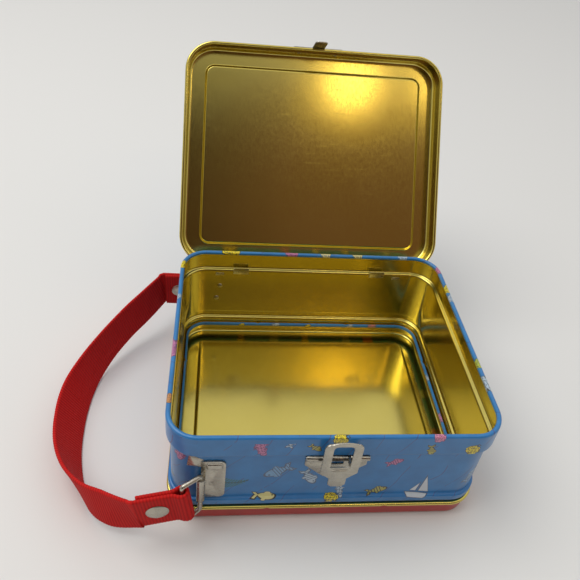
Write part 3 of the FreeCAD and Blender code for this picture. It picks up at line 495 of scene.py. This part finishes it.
def printed_litho(name, ground, ground_dark, pictures=(), repeat_at=None):
    """Offset-printed tinplate under a clear varnish. Pictures come again after the distance repeat_at."""
    made, tree, shader = new_material(name)
    sheet_place = add(tree, "ShaderNodeUVMap", uv_map="print").outputs[0]
    if repeat_at:
        round_place, down_place = add(tree, "ShaderNodeSeparateXYZ", (sheet_place,)).outputs[:2]
        folded = add(tree, "ShaderNodeMath", (round_place, repeat_at, 0.0), operation="WRAP")
        sheet_place = add(tree, "ShaderNodeCombineXYZ", (folded, down_place)).outputs[0]
    mottle = add(tree, "ShaderNodeTexNoise", {"Vector": sheet_place, "Scale": 1 / (9 * MM), "Detail": 4.0})
    patchy = add(tree, "ShaderNodeMapRange", {0: mottle.outputs["Fac"], 1: 0.35, 2: 0.7, 3: 0.0, 4: 1.0})
    colour = add(tree, "ShaderNodeMix", {0: patchy, 6: linear(ground), 7: linear(ground_dark)},
                 data_type="RGBA").outputs[2]
    if pictures:
        lean = add(tree, "ShaderNodeMapping", {"Vector": sheet_place, "Rotation": (0, 0, math.radians(-31))})
        across = add(tree, "ShaderNodeSeparateXYZ", (lean,))
        bent = add(tree, "ShaderNodeTexNoise", {"Vector": sheet_place, "Scale": 1 / (60 * MM)}).outputs["Fac"]
        sway = add(tree, "ShaderNodeMath", (bent, 3.0), operation="MULTIPLY")
        spaced = add(tree, "ShaderNodeMath", (across, 1 / (12.5 * MM), sway), operation="MULTIPLY_ADD")
        within = add(tree, "ShaderNodeMath", (spaced,), operation="FRACT")
        hair = add(tree, "ShaderNodeMath", (within, 0.5, 0.014), operation="COMPARE")
        broken = add(tree, "ShaderNodeTexNoise", {"Vector": sheet_place,
                                                  "Scale": 1 / (11 * MM)}).outputs["Fac"]
        shown = add(tree, "ShaderNodeMath", (broken, 0.47), operation="GREATER_THAN")
        whole = add(tree, "ShaderNodeMath", (hair, shown), operation="MULTIPLY")
        line = add(tree, "ShaderNodeMath", (whole, 0.75), operation="MULTIPLY")
        colour = add(tree, "ShaderNodeMix", {0: line, 6: colour, 7: linear("#4A3F70")},
                     data_type="RGBA").outputs[2]
    colour = stamp_all(tree, pictures, sheet_place, colour)
    tree.links.new(colour, shader.inputs["Base Color"])
    shader.inputs["Roughness"].default_value = 0.34
    shader.inputs["Coat Weight"].default_value = 0.3
    shader.inputs["Coat Roughness"].default_value = 0.12
    peel = add(tree, "ShaderNodeTexNoise", {"Vector": sheet_place, "Scale": 1 / (1.6 * MM), "Detail": 2.0})
    ripple = add(tree, "ShaderNodeBump", {"Strength": 0.12, "Distance": 0.05 * MM,
                                          "Height": peel.outputs["Fac"]})
    tree.links.new(ripple.outputs[0], shader.inputs["Normal"])
    return made


# Places are millimetres round the collar from the front's left end, and down the sheet from the rim's lip.
band_pictures = [
    (scrap_art, 27.4, 11.0, 14.0, -72, PINK, PURPLE_INK, 0.45),
    (fish_art, 36.5, 32.0, 16.5, 212, SILVER, GREY_INK, 75.0),
    (fish_art, 51.5, 37.0, 14.0, -62, PALE, GREY_INK, 60.0),
    (fish_art, 31.5, 51.8, 13.0, -6, CREAM, DARK_INK, 0.0),
    (weed_art, 17.8, 41.0, 12.0, 8, WEED, WEED_INK, None),
    (fish_art, 51.1, 10.5, 8.0, -40, GREEN, DARK_INK, 40.0),
    (fish_art, 40.4, 6.5, 9.0, 72, PALE, GREY_INK, 40.0),
    (fish_art, 90.5, 26.0, 9.5, 26, PINK, PURPLE_INK, 55.0),
    (fish_art, 104.5, 13.0, 9.0, -80, GREEN, DARK_INK, 60.0),
    (scrap_art, 124.3, 13.0, 9.0, 20, YELLOW, DARK_INK, 0.9),
    (boat_art, 107.0, 46.0, 21.0, -9, SAIL, GREY_INK, None),
    (fish_art, 86.0, 49.0, 12.0, 22, GREEN, DARK_INK, 55.0),
    (scrap_art, 64.1, 53.6, 9.5, 0, YELLOW, DARK_INK, 0.7),
    (scrap_art, 67.8, 49.0, 13.0, -80, PALE, GREY_INK, 0.34),
    (fish_art, 133.0, 40.0, 13.0, 60, SILVER, GREY_INK, 60.0),
    (scrap_art, 145.5, 18.0, 12.0, 60, PINK, PURPLE_INK, 0.5),
    (fish_art, 158.0, 38.0, 15.0, 12, CREAM, DARK_INK, 55.0),
    (boat_art, 177.0, 43.0, 19.0, 5, SAIL, GREY_INK, None),
    (fish_art, 192.0, 27.0, 13.0, -35, YELLOW, DARK_INK, 50.0),
    (fish_art, 208.0, 47.0, 14.0, 15, PINK, PURPLE_INK, 60.0),
    (boat_art, 226.0, 31.0, 18.0, -4, SAIL, GREY_INK, None),
    (fish_art, 243.0, 18.0, 12.0, 55, GREEN, DARK_INK, 45.0),
    (weed_art, 250.0, 44.0, 13.0, -12, WEED, WEED_INK, None),
    (scrap_art, 261.0, 21.0, 14.0, 84, PINK, PURPLE_INK, 0.5),
]
# On the rolled rim and on the neck's curl, which are seen from above.
curl_pictures = [
    (scrap_art, 61.8, 5.6, 9.0, 0, "#E8D21E", DARK_INK, 0.9),
    (scrap_art, 106.7, 4.2, 7.0, 0, "#D88AA6", PURPLE_INK, 0.9),
    (scrap_art, 164.1, 3.2, 13.0, 20, PALE, DARK_INK, 0.6),
    (scrap_art, 176.9, 3.6, 8.0, 0, "#B4BE3C", DARK_INK, 0.8),
    (scrap_art, 225.2, 4.0, 8.0, 0, PALE, GREY_INK, 0.8),
    (scrap_art, 233.0, 4.0, 9.0, 0, YELLOW, DARK_INK, 0.8),
    (scrap_art, 249.9, 3.5, 8.0, 0, PINK, PURPLE_INK, 0.8),
    (scrap_art, 277.5, 3.5, 8.0, 0, "#A8C4D8", GREY_INK, 0.8),
    (scrap_art, 305.8, 3.5, 8.0, 0, CREAM, DARK_INK, 0.8),
    (scrap_art, 325.5, 3.5, 8.0, 0, CREAM, GREY_INK, 0.8),
    (scrap_art, 346.2, 3.5, 10.0, 0, PINK, PURPLE_INK, 0.8),
    (scrap_art, 382.6, 3.5, 14.0, 0, "#E8D21E", DARK_INK, 0.7),
    (scrap_art, 418.6, 3.2, 9.0, 0, "#E8D21E", DARK_INK, 0.8),
    (scrap_art, 445.5, 4.0, 5.0, 0, PALE, GREY_INK, 0.8),
    (scrap_art, 482.0, 4.6, 16.0, 10, PINK, PURPLE_INK, 0.5),
    (scrap_art, 512.5, 3.2, 7.0, 0, "#C88A4A", DARK_INK, 0.8),
    (scrap_art, 287.0, 65.5, 9.0, 0, "#C87868", GREY_INK, 0.8),
    (scrap_art, 302.0, 65.5, 7.0, 0, PALE, GREY_INK, 0.8),
    (scrap_art, 330.0, 65.5, 6.0, 0, YELLOW, DARK_INK, 0.8),
    (scrap_art, 351.0, 65.5, 8.0, 0, PALE, GREY_INK, 0.8),
    (scrap_art, 373.1, 65.5, 6.0, 0, YELLOW, DARK_INK, 0.8),
    (scrap_art, 215.0, 65.5, 8.0, 0, PALE, GREY_INK, 0.8),
    (scrap_art, 186.0, 65.5, 10.0, 0, PINK, GREY_INK, 0.8),
]
rim_print_end, neck_print_start = 7.0 * MM, 62.0 * MM
half_round = front_run + side_run + 2 * corner_run
blue_litho = printed_litho("blue_printed_tinplate", LITHO_BLUE, LITHO_BLUE_DARK, band_pictures, half_round)
rim_litho = printed_litho("blue_printed_rim", LITHO_BLUE, LITHO_BLUE_DARK, curl_pictures)

neck_inset = collar_step + sheet
foot_in = foot_flare + sheet
foot_low = bottom_curl_z + cover_bead + sheet / 2 + foot_gap + joggle_run(foot_in, step_radius)
foot_top = foot_low + foot_height
wall_run = (rim_top - collar_height - joggle_run(collar_step, step_radius)
            - foot_top - joggle_run(foot_flare, foot_radius))
band_moves = [("arc", rim_curl, -curl_turn), ("line", collar_height - sheet / 2 - rim_curl)]
band_moves += joggle(-collar_step, step_radius) + [("line", wall_run)]
band_moves += joggle(foot_flare, foot_radius) + [("line", foot_height)] + joggle(-foot_in, step_radius)
band_moves += [("line", neck_height), ("arc", rim_curl, -curl_turn)]
band_stations = bend_strip((-sheet / 2 - rim_curl, rim_top - sheet / 2 - 2 * rim_curl), 180, band_moves,
                           band_step)
dimple_stops = [s * dimple_spread + k * dimple_width / 4 for s in (-1, 1) for k in range(-5, 6)]
collar_path, collar_around = round_path(collar_width, collar_depth, collar_corner, dimple_stops)


def dimple(px, py, z):
    """How far a punch has pressed the skirt and neck inward at a place."""
    along = abs(px) if abs(abs(py) - collar_depth / 2) < 0.5 * MM else abs(py)
    away = math.hypot(along - dimple_spread, z - dimple_z)
    return dimple_press * (1 + math.cos(math.pi * away / dimple_width)) / 2 if away < dimple_width else 0.0


band = pressed_sheet("printed_body_band", band_stations, collar_path, collar_around,
                     (blue_litho, gold_lacquer, tin_edge), push=dimple)
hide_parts("body_band")
# The rolled rim and the neck's curl carry their own pictures.
band.data.materials.append(rim_litho)
marks = band.data.uv_layers["print"].data
for polygon in band.data.polygons:
    down = marks[polygon.loop_indices[0]].uv[1]
    if polygon.material_index == 0 and not rim_print_end < down < neck_print_start:
        polygon.material_index = 3
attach(band, "tin")

# ---- Bottom cover ----
# A shallow tinplate pan, red outside and gold inside, pushed over the neck and dimpled to it on four sides.
# Its lip is curled outward, so the curl shows the gold face. Its panel is pressed up inside a flat border.
cover_clearance, cover_bend, border_width = 0.5 * MM, 1.8 * MM, 7.6 * MM
panel_step, panel_radius, panel_lead, bead_turn = 1.4 * MM, 1.1 * MM, 1.2 * MM, 290
skirt_mid = cover_clearance + sheet / 2


def cover_stations(radius, border_z, skirt, way):
    """A cover's edge, from its flat panel to its curl. way is 1 when the skirt rises and -1 when it hangs."""
    inner = radius - panel_lead
    lead = inner - border_width - cover_bend - joggle_run(panel_step, panel_radius)
    moves = [("line", lead)] + joggle(-way * panel_step, panel_radius) + [("line", border_width)]
    moves += [("arc", cover_bend, way * 90), ("line", skirt - cover_bend),
              ("arc", cover_bead, -way * bead_turn)]
    return bend_strip((-inner, border_z + way * panel_step), 0, moves)


bottom_grow = skirt_mid - neck_inset
bottom_width, bottom_depth = collar_width + 2 * bottom_grow, collar_depth + 2 * bottom_grow
bottom_path, bottom_around = round_path(bottom_width, bottom_depth, collar_corner + bottom_grow, dimple_stops)


def skirt_dimple(px, py, z):
    """The punch's mark on the cover's skirt, which lies outside the neck."""
    return dimple(px, py + math.copysign(-bottom_grow, py), z) if z > cover_bend else 0


red_litho = printed_litho("red_printed_tinplate", "#B8241C", "#A81E18")
bottom = pressed_sheet("red_bottom_cover",
                       cover_stations(collar_corner + bottom_grow, sheet / 2, bottom_curl_z - sheet / 2, 1),
                       bottom_path, bottom_around, (gold_lacquer, red_litho, tin_edge), flat_panel=True,
                       push=skirt_dimple)
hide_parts("bottom_cover")
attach(bottom, "tin")

# ---- Lid ----
# The same kind of pan upside down, a little larger, and open on its hinges. Its curl is cut away at the two
# hinge knuckles, where a wire through the curl holds it.
hinge_spread, hinge_cut = 49.0 * MM, 10.9 * MM
hinge_below_rim, rim_air, slack = 10.8 * MM, 0.15 * MM, 0.001 * MM
hinge_y, hinge_z = collar_depth / 2 + skirt_mid + cover_bead, rim_top - hinge_below_rim
lid_open = math.radians(124.5)
lid_border_z = rim_top + rim_air + sheet / 2
hinge_stops = [s * hinge_spread + k * hinge_cut for s in (-1, 1) for k in (-1, 1)]
lid_path, lid_around = round_path(collar_width + 2 * skirt_mid, collar_depth + 2 * skirt_mid,
                                  collar_corner + skirt_mid, hinge_stops)
lid_stations = cover_stations(collar_corner + skirt_mid, lid_border_z, lid_border_z - hinge_z, -1)
curl_start = lid_stations[-1][3] - cover_bead * math.radians(bead_turn)


def at_knuckle(column, station):
    """Whether a cell of the lid's curl is cut away for a hinge knuckle."""
    x, y = column[:2]
    in_curl = y > collar_depth / 2 and station[3] > curl_start - slack
    return in_curl and abs(abs(x) - hinge_spread + slack) < hinge_cut


lid_blue = printed_litho("blue_printed_lid", LITHO_BLUE, LITHO_BLUE_DARK)
lid = pressed_sheet("printed_lid", lid_stations, lid_path, lid_around, (lid_blue, gold_lacquer, tin_edge),
                    flat_panel=True, left_out=at_knuckle)
hinge_axis = Matrix.Translation((0, hinge_y, hinge_z))
lid.data.transform(hinge_axis @ Matrix.Rotation(-lid_open, 4, "X") @ hinge_axis.inverted())
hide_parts("lid")
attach(lid, "lid")

# ---- Hinges, latch, catch, brackets and rings ----
# Small hardware stamped from thin steel or bent from wire, then nickel-plated. Its edges are rounded by
# the tumbling drum, and it has dulled and picked up fine scratches.
nickel, tree, shader = new_material("nickel_plated_steel")
place = add(tree, "ShaderNodeTexCoord").outputs["Object"]
smear = add(tree, "ShaderNodeTexNoise", {"Vector": place, "Scale": 1 / (5 * MM), "Detail": 4.0})
hairline = add(tree, "ShaderNodeMapping", {"Vector": place, "Rotation": (0.2, 0.7, 0.4), "Scale": (1, 1, 9)})
rub = add(tree, "ShaderNodeTexNoise", {"Vector": hairline, "Scale": 1 / (2.5 * MM), "Detail": 5.0})
plating = add(tree, "ShaderNodeMix", {0: smear.outputs["Fac"], 6: linear("#9A958A"), 7: linear("#C2BCAE")},
              data_type="RGBA")
tree.links.new(plating.outputs[2], shader.inputs["Base Color"])
shader.inputs["Metallic"].default_value = 1.0
tree.links.new(add(tree, "ShaderNodeMapRange", {0: rub.outputs["Fac"], 1: 0.3, 2: 0.75, 3: 0.20,
                                                4: 0.42}).outputs[0], shader.inputs["Roughness"])
tree.links.new(add(tree, "ShaderNodeBump", {"Strength": 0.15, "Distance": 0.05 * MM,
                                            "Height": rub.outputs["Fac"]}).outputs[0],
               shader.inputs["Normal"])


def tumbled(name, node, body, rounding=0.14 * MM):
    """A copy of a CAD piece with its sharp edges rounded and its curved faces smooth."""
    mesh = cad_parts[node].data.copy()
    bm = bmesh.new()
    bm.from_mesh(mesh)
    bmesh.ops.remove_doubles(bm, verts=bm.verts, dist=2e-6)
    bmesh.ops.dissolve_limit(bm, angle_limit=math.radians(1.0), verts=bm.verts, edges=bm.edges)
    for face in bm.faces:
        face.smooth = True
    bm.to_mesh(mesh)
    bm.free()
    mesh.materials.clear()
    mesh.materials.append(nickel)
    piece = bpy.data.objects.new(name, mesh)
    bpy.context.scene.collection.objects.link(piece)
    if rounding:
        bevel = piece.modifiers.new("rounded_edges", "BEVEL")
        bevel.width, bevel.segments, bevel.limit_method = rounding, 2, "ANGLE"
        bevel.angle_limit, bevel.harden_normals = math.radians(35), True
        bevel.use_clamp_overlap = True
    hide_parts(node)
    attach(piece, body)
    return piece


hardware = {
    "tin": ["hinge_leaf_left", "hinge_leaf_right", "latch_base_plate", "latch_pin", "latch_rivets",
            "strap_bracket_front", "strap_bracket_rear", "bracket_rivets_front", "bracket_rivets_rear"],
    "lid": ["lid_catch_plate", "catch_rivets", "hinge_wire_left", "hinge_wire_right"],
    "latch": ["latch_lever"],
    "ring_front": ["strap_ring_front", "strap_rivet_front", "strap_rivet_cap_front"],
    "ring_rear": ["strap_ring_rear", "strap_rivet_rear", "strap_rivet_cap_rear"],
}
for body, nodes in hardware.items():
    for node in nodes:
        tumbled("nickel_" + node, node, body)

# ---- Strap ----
# One length of red ribbed webbing, 22 mm wide, standing on edge. Each end goes round its wire ring and back
# on itself and is held by a rivet. It is shown as two halves that meet at its middle.
webbing_width, webbing, selvedge, across_steps = 22.0 * MM, 1.7 * MM, 0.035, 22
strap_step, blend_run = 0.32 * MM, 45.0 * MM
Z = Vector((0, 0, 1))
rib_pitch, rib_height, cord_pitch = 1.45 * MM, 0.14 * MM, 1.83 * MM
ring_wire, webbing_gap, layer_gap, fold_bend = 1.1 * MM, 0.3 * MM, 0.1 * MM, 6.0 * MM
strap_end_length, rivet_reach, tail_past_rivet = 22.0 * MM, 12.5 * MM, 8.0 * MM
barrel = Vector((-60.9, -65.86, 30.0)) * MM
ring_swing, ring_reach = math.radians(30), 7.6 * MM
hang = {"front": (5.0 * MM, math.radians(8.0), math.radians(6.0)),
        "rear": (1.0 * MM, math.radians(1.5), math.radians(3.0))}
strap_route = [
    ((-103.0, -67.0, 17.4), (-0.03, 0.10, 1.0)),
    ((-114.0, -59.5, 13.9), (-0.12, 0.02, 1.0)),
    ((-122.5, -47.0, 11.2), (-0.32, -0.10, 0.95)),
    ((-128.3, -32.0, 10.3), (-0.46, -0.10, 0.88)),
    ((-130.8, -16.0, 10.0), (-0.52, -0.02, 0.85)),
    ((-130.8, 1.0, 10.1), (-0.50, 0.02, 0.86)),
    ((-127.0, 18.0, 11.3), (-0.36, 0.02, 0.93)),
    ((-119.8, 33.5, 14.6), (-0.20, 0.06, 0.98)),
    ((-110.0, 48.5, 18.6), (-0.10, 0.10, 1.0)),
    ((-100.0, 60.0, 23.0), (-0.04, 0.12, 1.0)),
]
strap_middle = 5                       # the route's point where the two halves meet


def strap_end(name):
    """Stations (middle, across) from the cut tail, round the ring and out to where the free strap starts."""
    drop, tilt, heading = hang[name]
    out = Vector((-math.cos(ring_swing), -math.sin(ring_swing), 0))
    bar = out * math.sin(tilt) + Z * math.cos(tilt)
    centre = barrel - Z * drop + out * ring_reach
    away = Vector((-math.cos(heading), -math.sin(heading), 0))
    away = (away - bar * away.dot(bar)).normalized()
    outward = away.cross(bar)
    if outward.y > 0:
        outward = -outward
    loop = ring_wire + webbing_gap + webbing / 2
    layer = (webbing + layer_gap) / 2
    rise = loop - layer
    run = joggle_run(rise, fold_bend)
    tail = rivet_reach + tail_past_rivet - run
    moves = [("line", tail)] + joggle(rise, fold_bend) + [("arc", loop, -180)]
    moves += joggle(-rise, fold_bend) + [("line", strap_end_length - run)]
    mirror = Matrix.Diagonal((1, -1 if name == "rear" else 1, 1))
    return [(mirror @ (centre + away * x + outward * z), mirror @ bar)
            for x, z, _, _ in bend_strip((tail + run, -layer), 180, moves)]


def smooth_through(stations, step):
    """Close, even stations on a smooth curve through the given ones."""
    dense = []
    for k in range(len(stations) - 1):
        p = [stations[max(0, min(len(stations) - 1, k + d))] for d in (-1, 0, 1, 2)]
        gap = (p[2][0] - p[1][0]).length
        slope = [[(p[2][c] - p[0][c]) * (gap / max((p[1][0] - p[0][0]).length + gap, 1e-9)) for c in (0, 1)],
                 [(p[3][c] - p[1][c]) * (gap / max((p[3][0] - p[2][0]).length + gap, 1e-9)) for c in (0, 1)]]
        count = max(1, round(gap / step))
        for i in range(count):
            t = i / count
            h = (2 * t ** 3 - 3 * t ** 2 + 1, t ** 3 - 2 * t ** 2 + t, 3 * t ** 2 - 2 * t ** 3,
                 t ** 3 - t ** 2)
            dense.append([p[1][c] * h[0] + slope[0][c] * h[1] + p[2][c] * h[2] + slope[1][c] * h[3]
                          for c in (0, 1)])
    dense.append([stations[-1][0], stations[-1][1]])
    return dense


def webbing_blank(name, stations):
    """A flat band with rounded selvedges, along the stations. Points keep their run and place across."""
    mesh = bpy.data.meshes.new(name)
    section = [(-0.5 + k / across_steps, 0.5) for k in range(across_steps + 1)] + [(0.5 + selvedge, 0.0)]
    section += [(-s, -t) for s, t in section]
    points, runs, acrosses = [], [], []
    run = 0.0
    for i, (middle, across) in enumerate(stations):
        if i:
            run += (middle - stations[i - 1][0]).length
        ahead = stations[min(i + 1, len(stations) - 1)][0] - stations[max(i - 1, 0)][0]
        across = (across - ahead.normalized() * across.dot(ahead.normalized())).normalized()
        facing = ahead.cross(across).normalized()
        for s, t in section:
            points.append(middle + across * s * webbing_width + facing * t * webbing)
            runs.append(run)
            acrosses.append(s * webbing_width)
    n = len(section)
    faces = [(i * n + k, i * n + (k + 1) % n, (i + 1) * n + (k + 1) % n, (i + 1) * n + k)
             for i in range(len(stations) - 1) for k in range(n)]
    faces += [tuple(range(n))[::-1], tuple((len(stations) - 1) * n + k for k in range(n))]
    mesh.from_pydata(points, [], faces)
    mesh.attributes.new("run", "FLOAT", "POINT").data.foreach_set("value", runs)
    mesh.attributes.new("across", "FLOAT", "POINT").data.foreach_set("value", acrosses)
    bm = bmesh.new()
    bm.from_mesh(mesh)
    bmesh.ops.recalc_face_normals(bm, faces=bm.faces)
    for face in bm.faces:
        face.smooth = len(face.verts) == 4
    bm.to_mesh(mesh)
    bm.free()
    piece = bpy.data.objects.new(name, mesh)
    bpy.context.scene.collection.objects.link(piece)
    return piece


# Red polypropylene webbing: matt ribbed yarn, with painted shade darkening it between the ribs, and worn
# paler in patches.
red_webbing, tree, shader = new_material("red_polypropylene_webbing")
run_at = add(tree, "ShaderNodeAttribute", attribute_name="run").outputs["Fac"]
across_at = add(tree, "ShaderNodeAttribute", attribute_name="across").outputs["Fac"]
lay = add(tree, "ShaderNodeCombineXYZ", {0: run_at, 1: across_at})
# Painted shade: the colour follows a wave along the strap, darkest between the ribs and lightest on their
# crests.
rib_turn = add(tree, "ShaderNodeMath", (run_at, math.pi / rib_pitch), operation="MULTIPLY")
rib_wave = add(tree, "ShaderNodeMath", (rib_turn,), operation="SINE")
painted_rib_shading = add(tree, "ShaderNodeMath", (rib_wave,), operation="ABSOLUTE")
yarn = add(tree, "ShaderNodeTexNoise", {"Vector": lay, "Scale": 1 / (0.5 * MM), "Detail": 3.0})
wear = add(tree, "ShaderNodeTexNoise", {"Vector": lay, "Scale": 1 / (14 * MM), "Detail": 3.0})
dye_and_painted_groove_shade = add(tree, "ShaderNodeMix", {0: painted_rib_shading, 6: linear("#9C0A0C"), 7: linear("#C61A18")},
           data_type="RGBA")
worn = add(tree, "ShaderNodeMath", (wear.outputs["Fac"], 0.35), operation="MULTIPLY")
faded = add(tree, "ShaderNodeMix", {0: worn, 6: dye_and_painted_groove_shade.outputs[2], 7: linear("#D0302A")}, data_type="RGBA")
tree.links.new(faded.outputs[2], shader.inputs["Base Color"])
shader.inputs["Roughness"].default_value = 0.72
shader.inputs["Specular IOR Level"].default_value = 0.15
tree.links.new(add(tree, "ShaderNodeBump", {"Strength": 0.5, "Distance": 0.12 * MM,
                                            "Height": yarn.outputs["Fac"]}).outputs[0],
               shader.inputs["Normal"])

# The weave raises a rib each time the weft crosses, and its lengthwise cords set neighbouring ribs apart.
weave = bpy.data.node_groups.new("ribbed_weave", "GeometryNodeTree")
for label, kind in (("Geometry", "NodeSocketGeometry"), ("Rib pitch", "NodeSocketFloat"),
                    ("Rib height", "NodeSocketFloat"), ("Cord pitch", "NodeSocketFloat"),
                    ("Yarn", "NodeSocketMaterial")):
    weave.interface.new_socket(label, in_out="INPUT", socket_type=kind)
weave.interface.new_socket("Geometry", in_out="OUTPUT", socket_type="NodeSocketGeometry")
given = add(weave, "NodeGroupInput").outputs
run_at = add(weave, "GeometryNodeInputNamedAttribute", {"Name": "run"}, data_type="FLOAT").outputs[0]
across_at = add(weave, "GeometryNodeInputNamedAttribute", {"Name": "across"}, data_type="FLOAT").outputs[0]
cords = add(weave, "ShaderNodeMath", (across_at, given["Cord pitch"]), operation="DIVIDE")
cord_side = add(weave, "ShaderNodeMath", (cords, 1.0), operation="PINGPONG")
cord_shift = add(weave, "ShaderNodeMath", (cord_side, 0.45), operation="MULTIPLY")
rib_count = add(weave, "ShaderNodeMath", (run_at, given["Rib pitch"]), operation="DIVIDE")
rib_at = add(weave, "ShaderNodeMath", (rib_count, cord_shift), operation="ADD")
rounds = []
for counted in (rib_at, cords):
    half_turn = add(weave, "ShaderNodeMath", (counted, math.pi), operation="MULTIPLY")
    wave = add(weave, "ShaderNodeMath", (half_turn,), operation="SINE")
    rounds.append(add(weave, "ShaderNodeMath", (wave,), operation="ABSOLUTE"))
rib, cord_round = rounds
raised = add(weave, "ShaderNodeMath", (cord_round, 0.3, rib), operation="MULTIPLY_ADD")
lowered = add(weave, "ShaderNodeMath", (raised, 1.0), operation="SUBTRACT")
lift = add(weave, "ShaderNodeMath", (lowered, given["Rib height"]), operation="MULTIPLY")
facing = add(weave, "GeometryNodeInputNormal")
push_out = add(weave, "ShaderNodeVectorMath", {0: facing, "Scale": lift}, operation="SCALE")
moved = add(weave, "GeometryNodeSetPosition", {"Geometry": given["Geometry"], "Offset": push_out})
real = add(weave, "GeometryNodeRealizeInstances", {0: moved})
dressed = add(weave, "GeometryNodeSetMaterial", {"Geometry": real, "Material": given["Yarn"]})
add(weave, "NodeGroupOutput", {0: dressed})


def woven(piece):
    """Weave a blank, and keep the result as a plain mesh."""
    modifier = piece.modifiers.new("weave", "NODES")
    modifier.node_group = weave
    sizes = {"Rib pitch": rib_pitch, "Rib height": rib_height, "Cord pitch": cord_pitch, "Yarn": red_webbing}
    for item in weave.interface.items_tree:
        if item.item_type == "SOCKET" and item.in_out == "INPUT" and item.name in sizes:
            modifier[item.identifier] = sizes[item.name]
    depsgraph = bpy.context.evaluated_depsgraph_get()
    mesh = bpy.data.meshes.new_from_object(piece.evaluated_get(depsgraph), preserve_all_data_layers=True,
                                           depsgraph=depsgraph)
    piece.modifiers.remove(modifier)
    piece.data = mesh
    return piece


route = [(Vector(at) * MM, Vector(across).normalized()) for at, across in strap_route]
front_end, rear_end = strap_end("front"), strap_end("rear")
free_strap = smooth_through([front_end[-2], front_end[-1]] + route + [rear_end[-1], rear_end[-2]], strap_step)
middle_place = route[strap_middle][0]
meeting = min(range(len(free_strap)), key=lambda i: (free_strap[i][0] - middle_place).length)
halves = {"front": (front_end[:-2], free_strap[:meeting + 1]),
          "rear": (rear_end[:-2], free_strap[meeting:][::-1])}
for name, (fold, free) in halves.items():
    fold = smooth_through(fold + [tuple(free[0])], strap_step)
    strap = woven(webbing_blank("webbing_" + name, fold[:-1] + free))
    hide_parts("strap_end_" + name)
    if name == "front":
        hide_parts("strap_middle")
    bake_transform(strap)
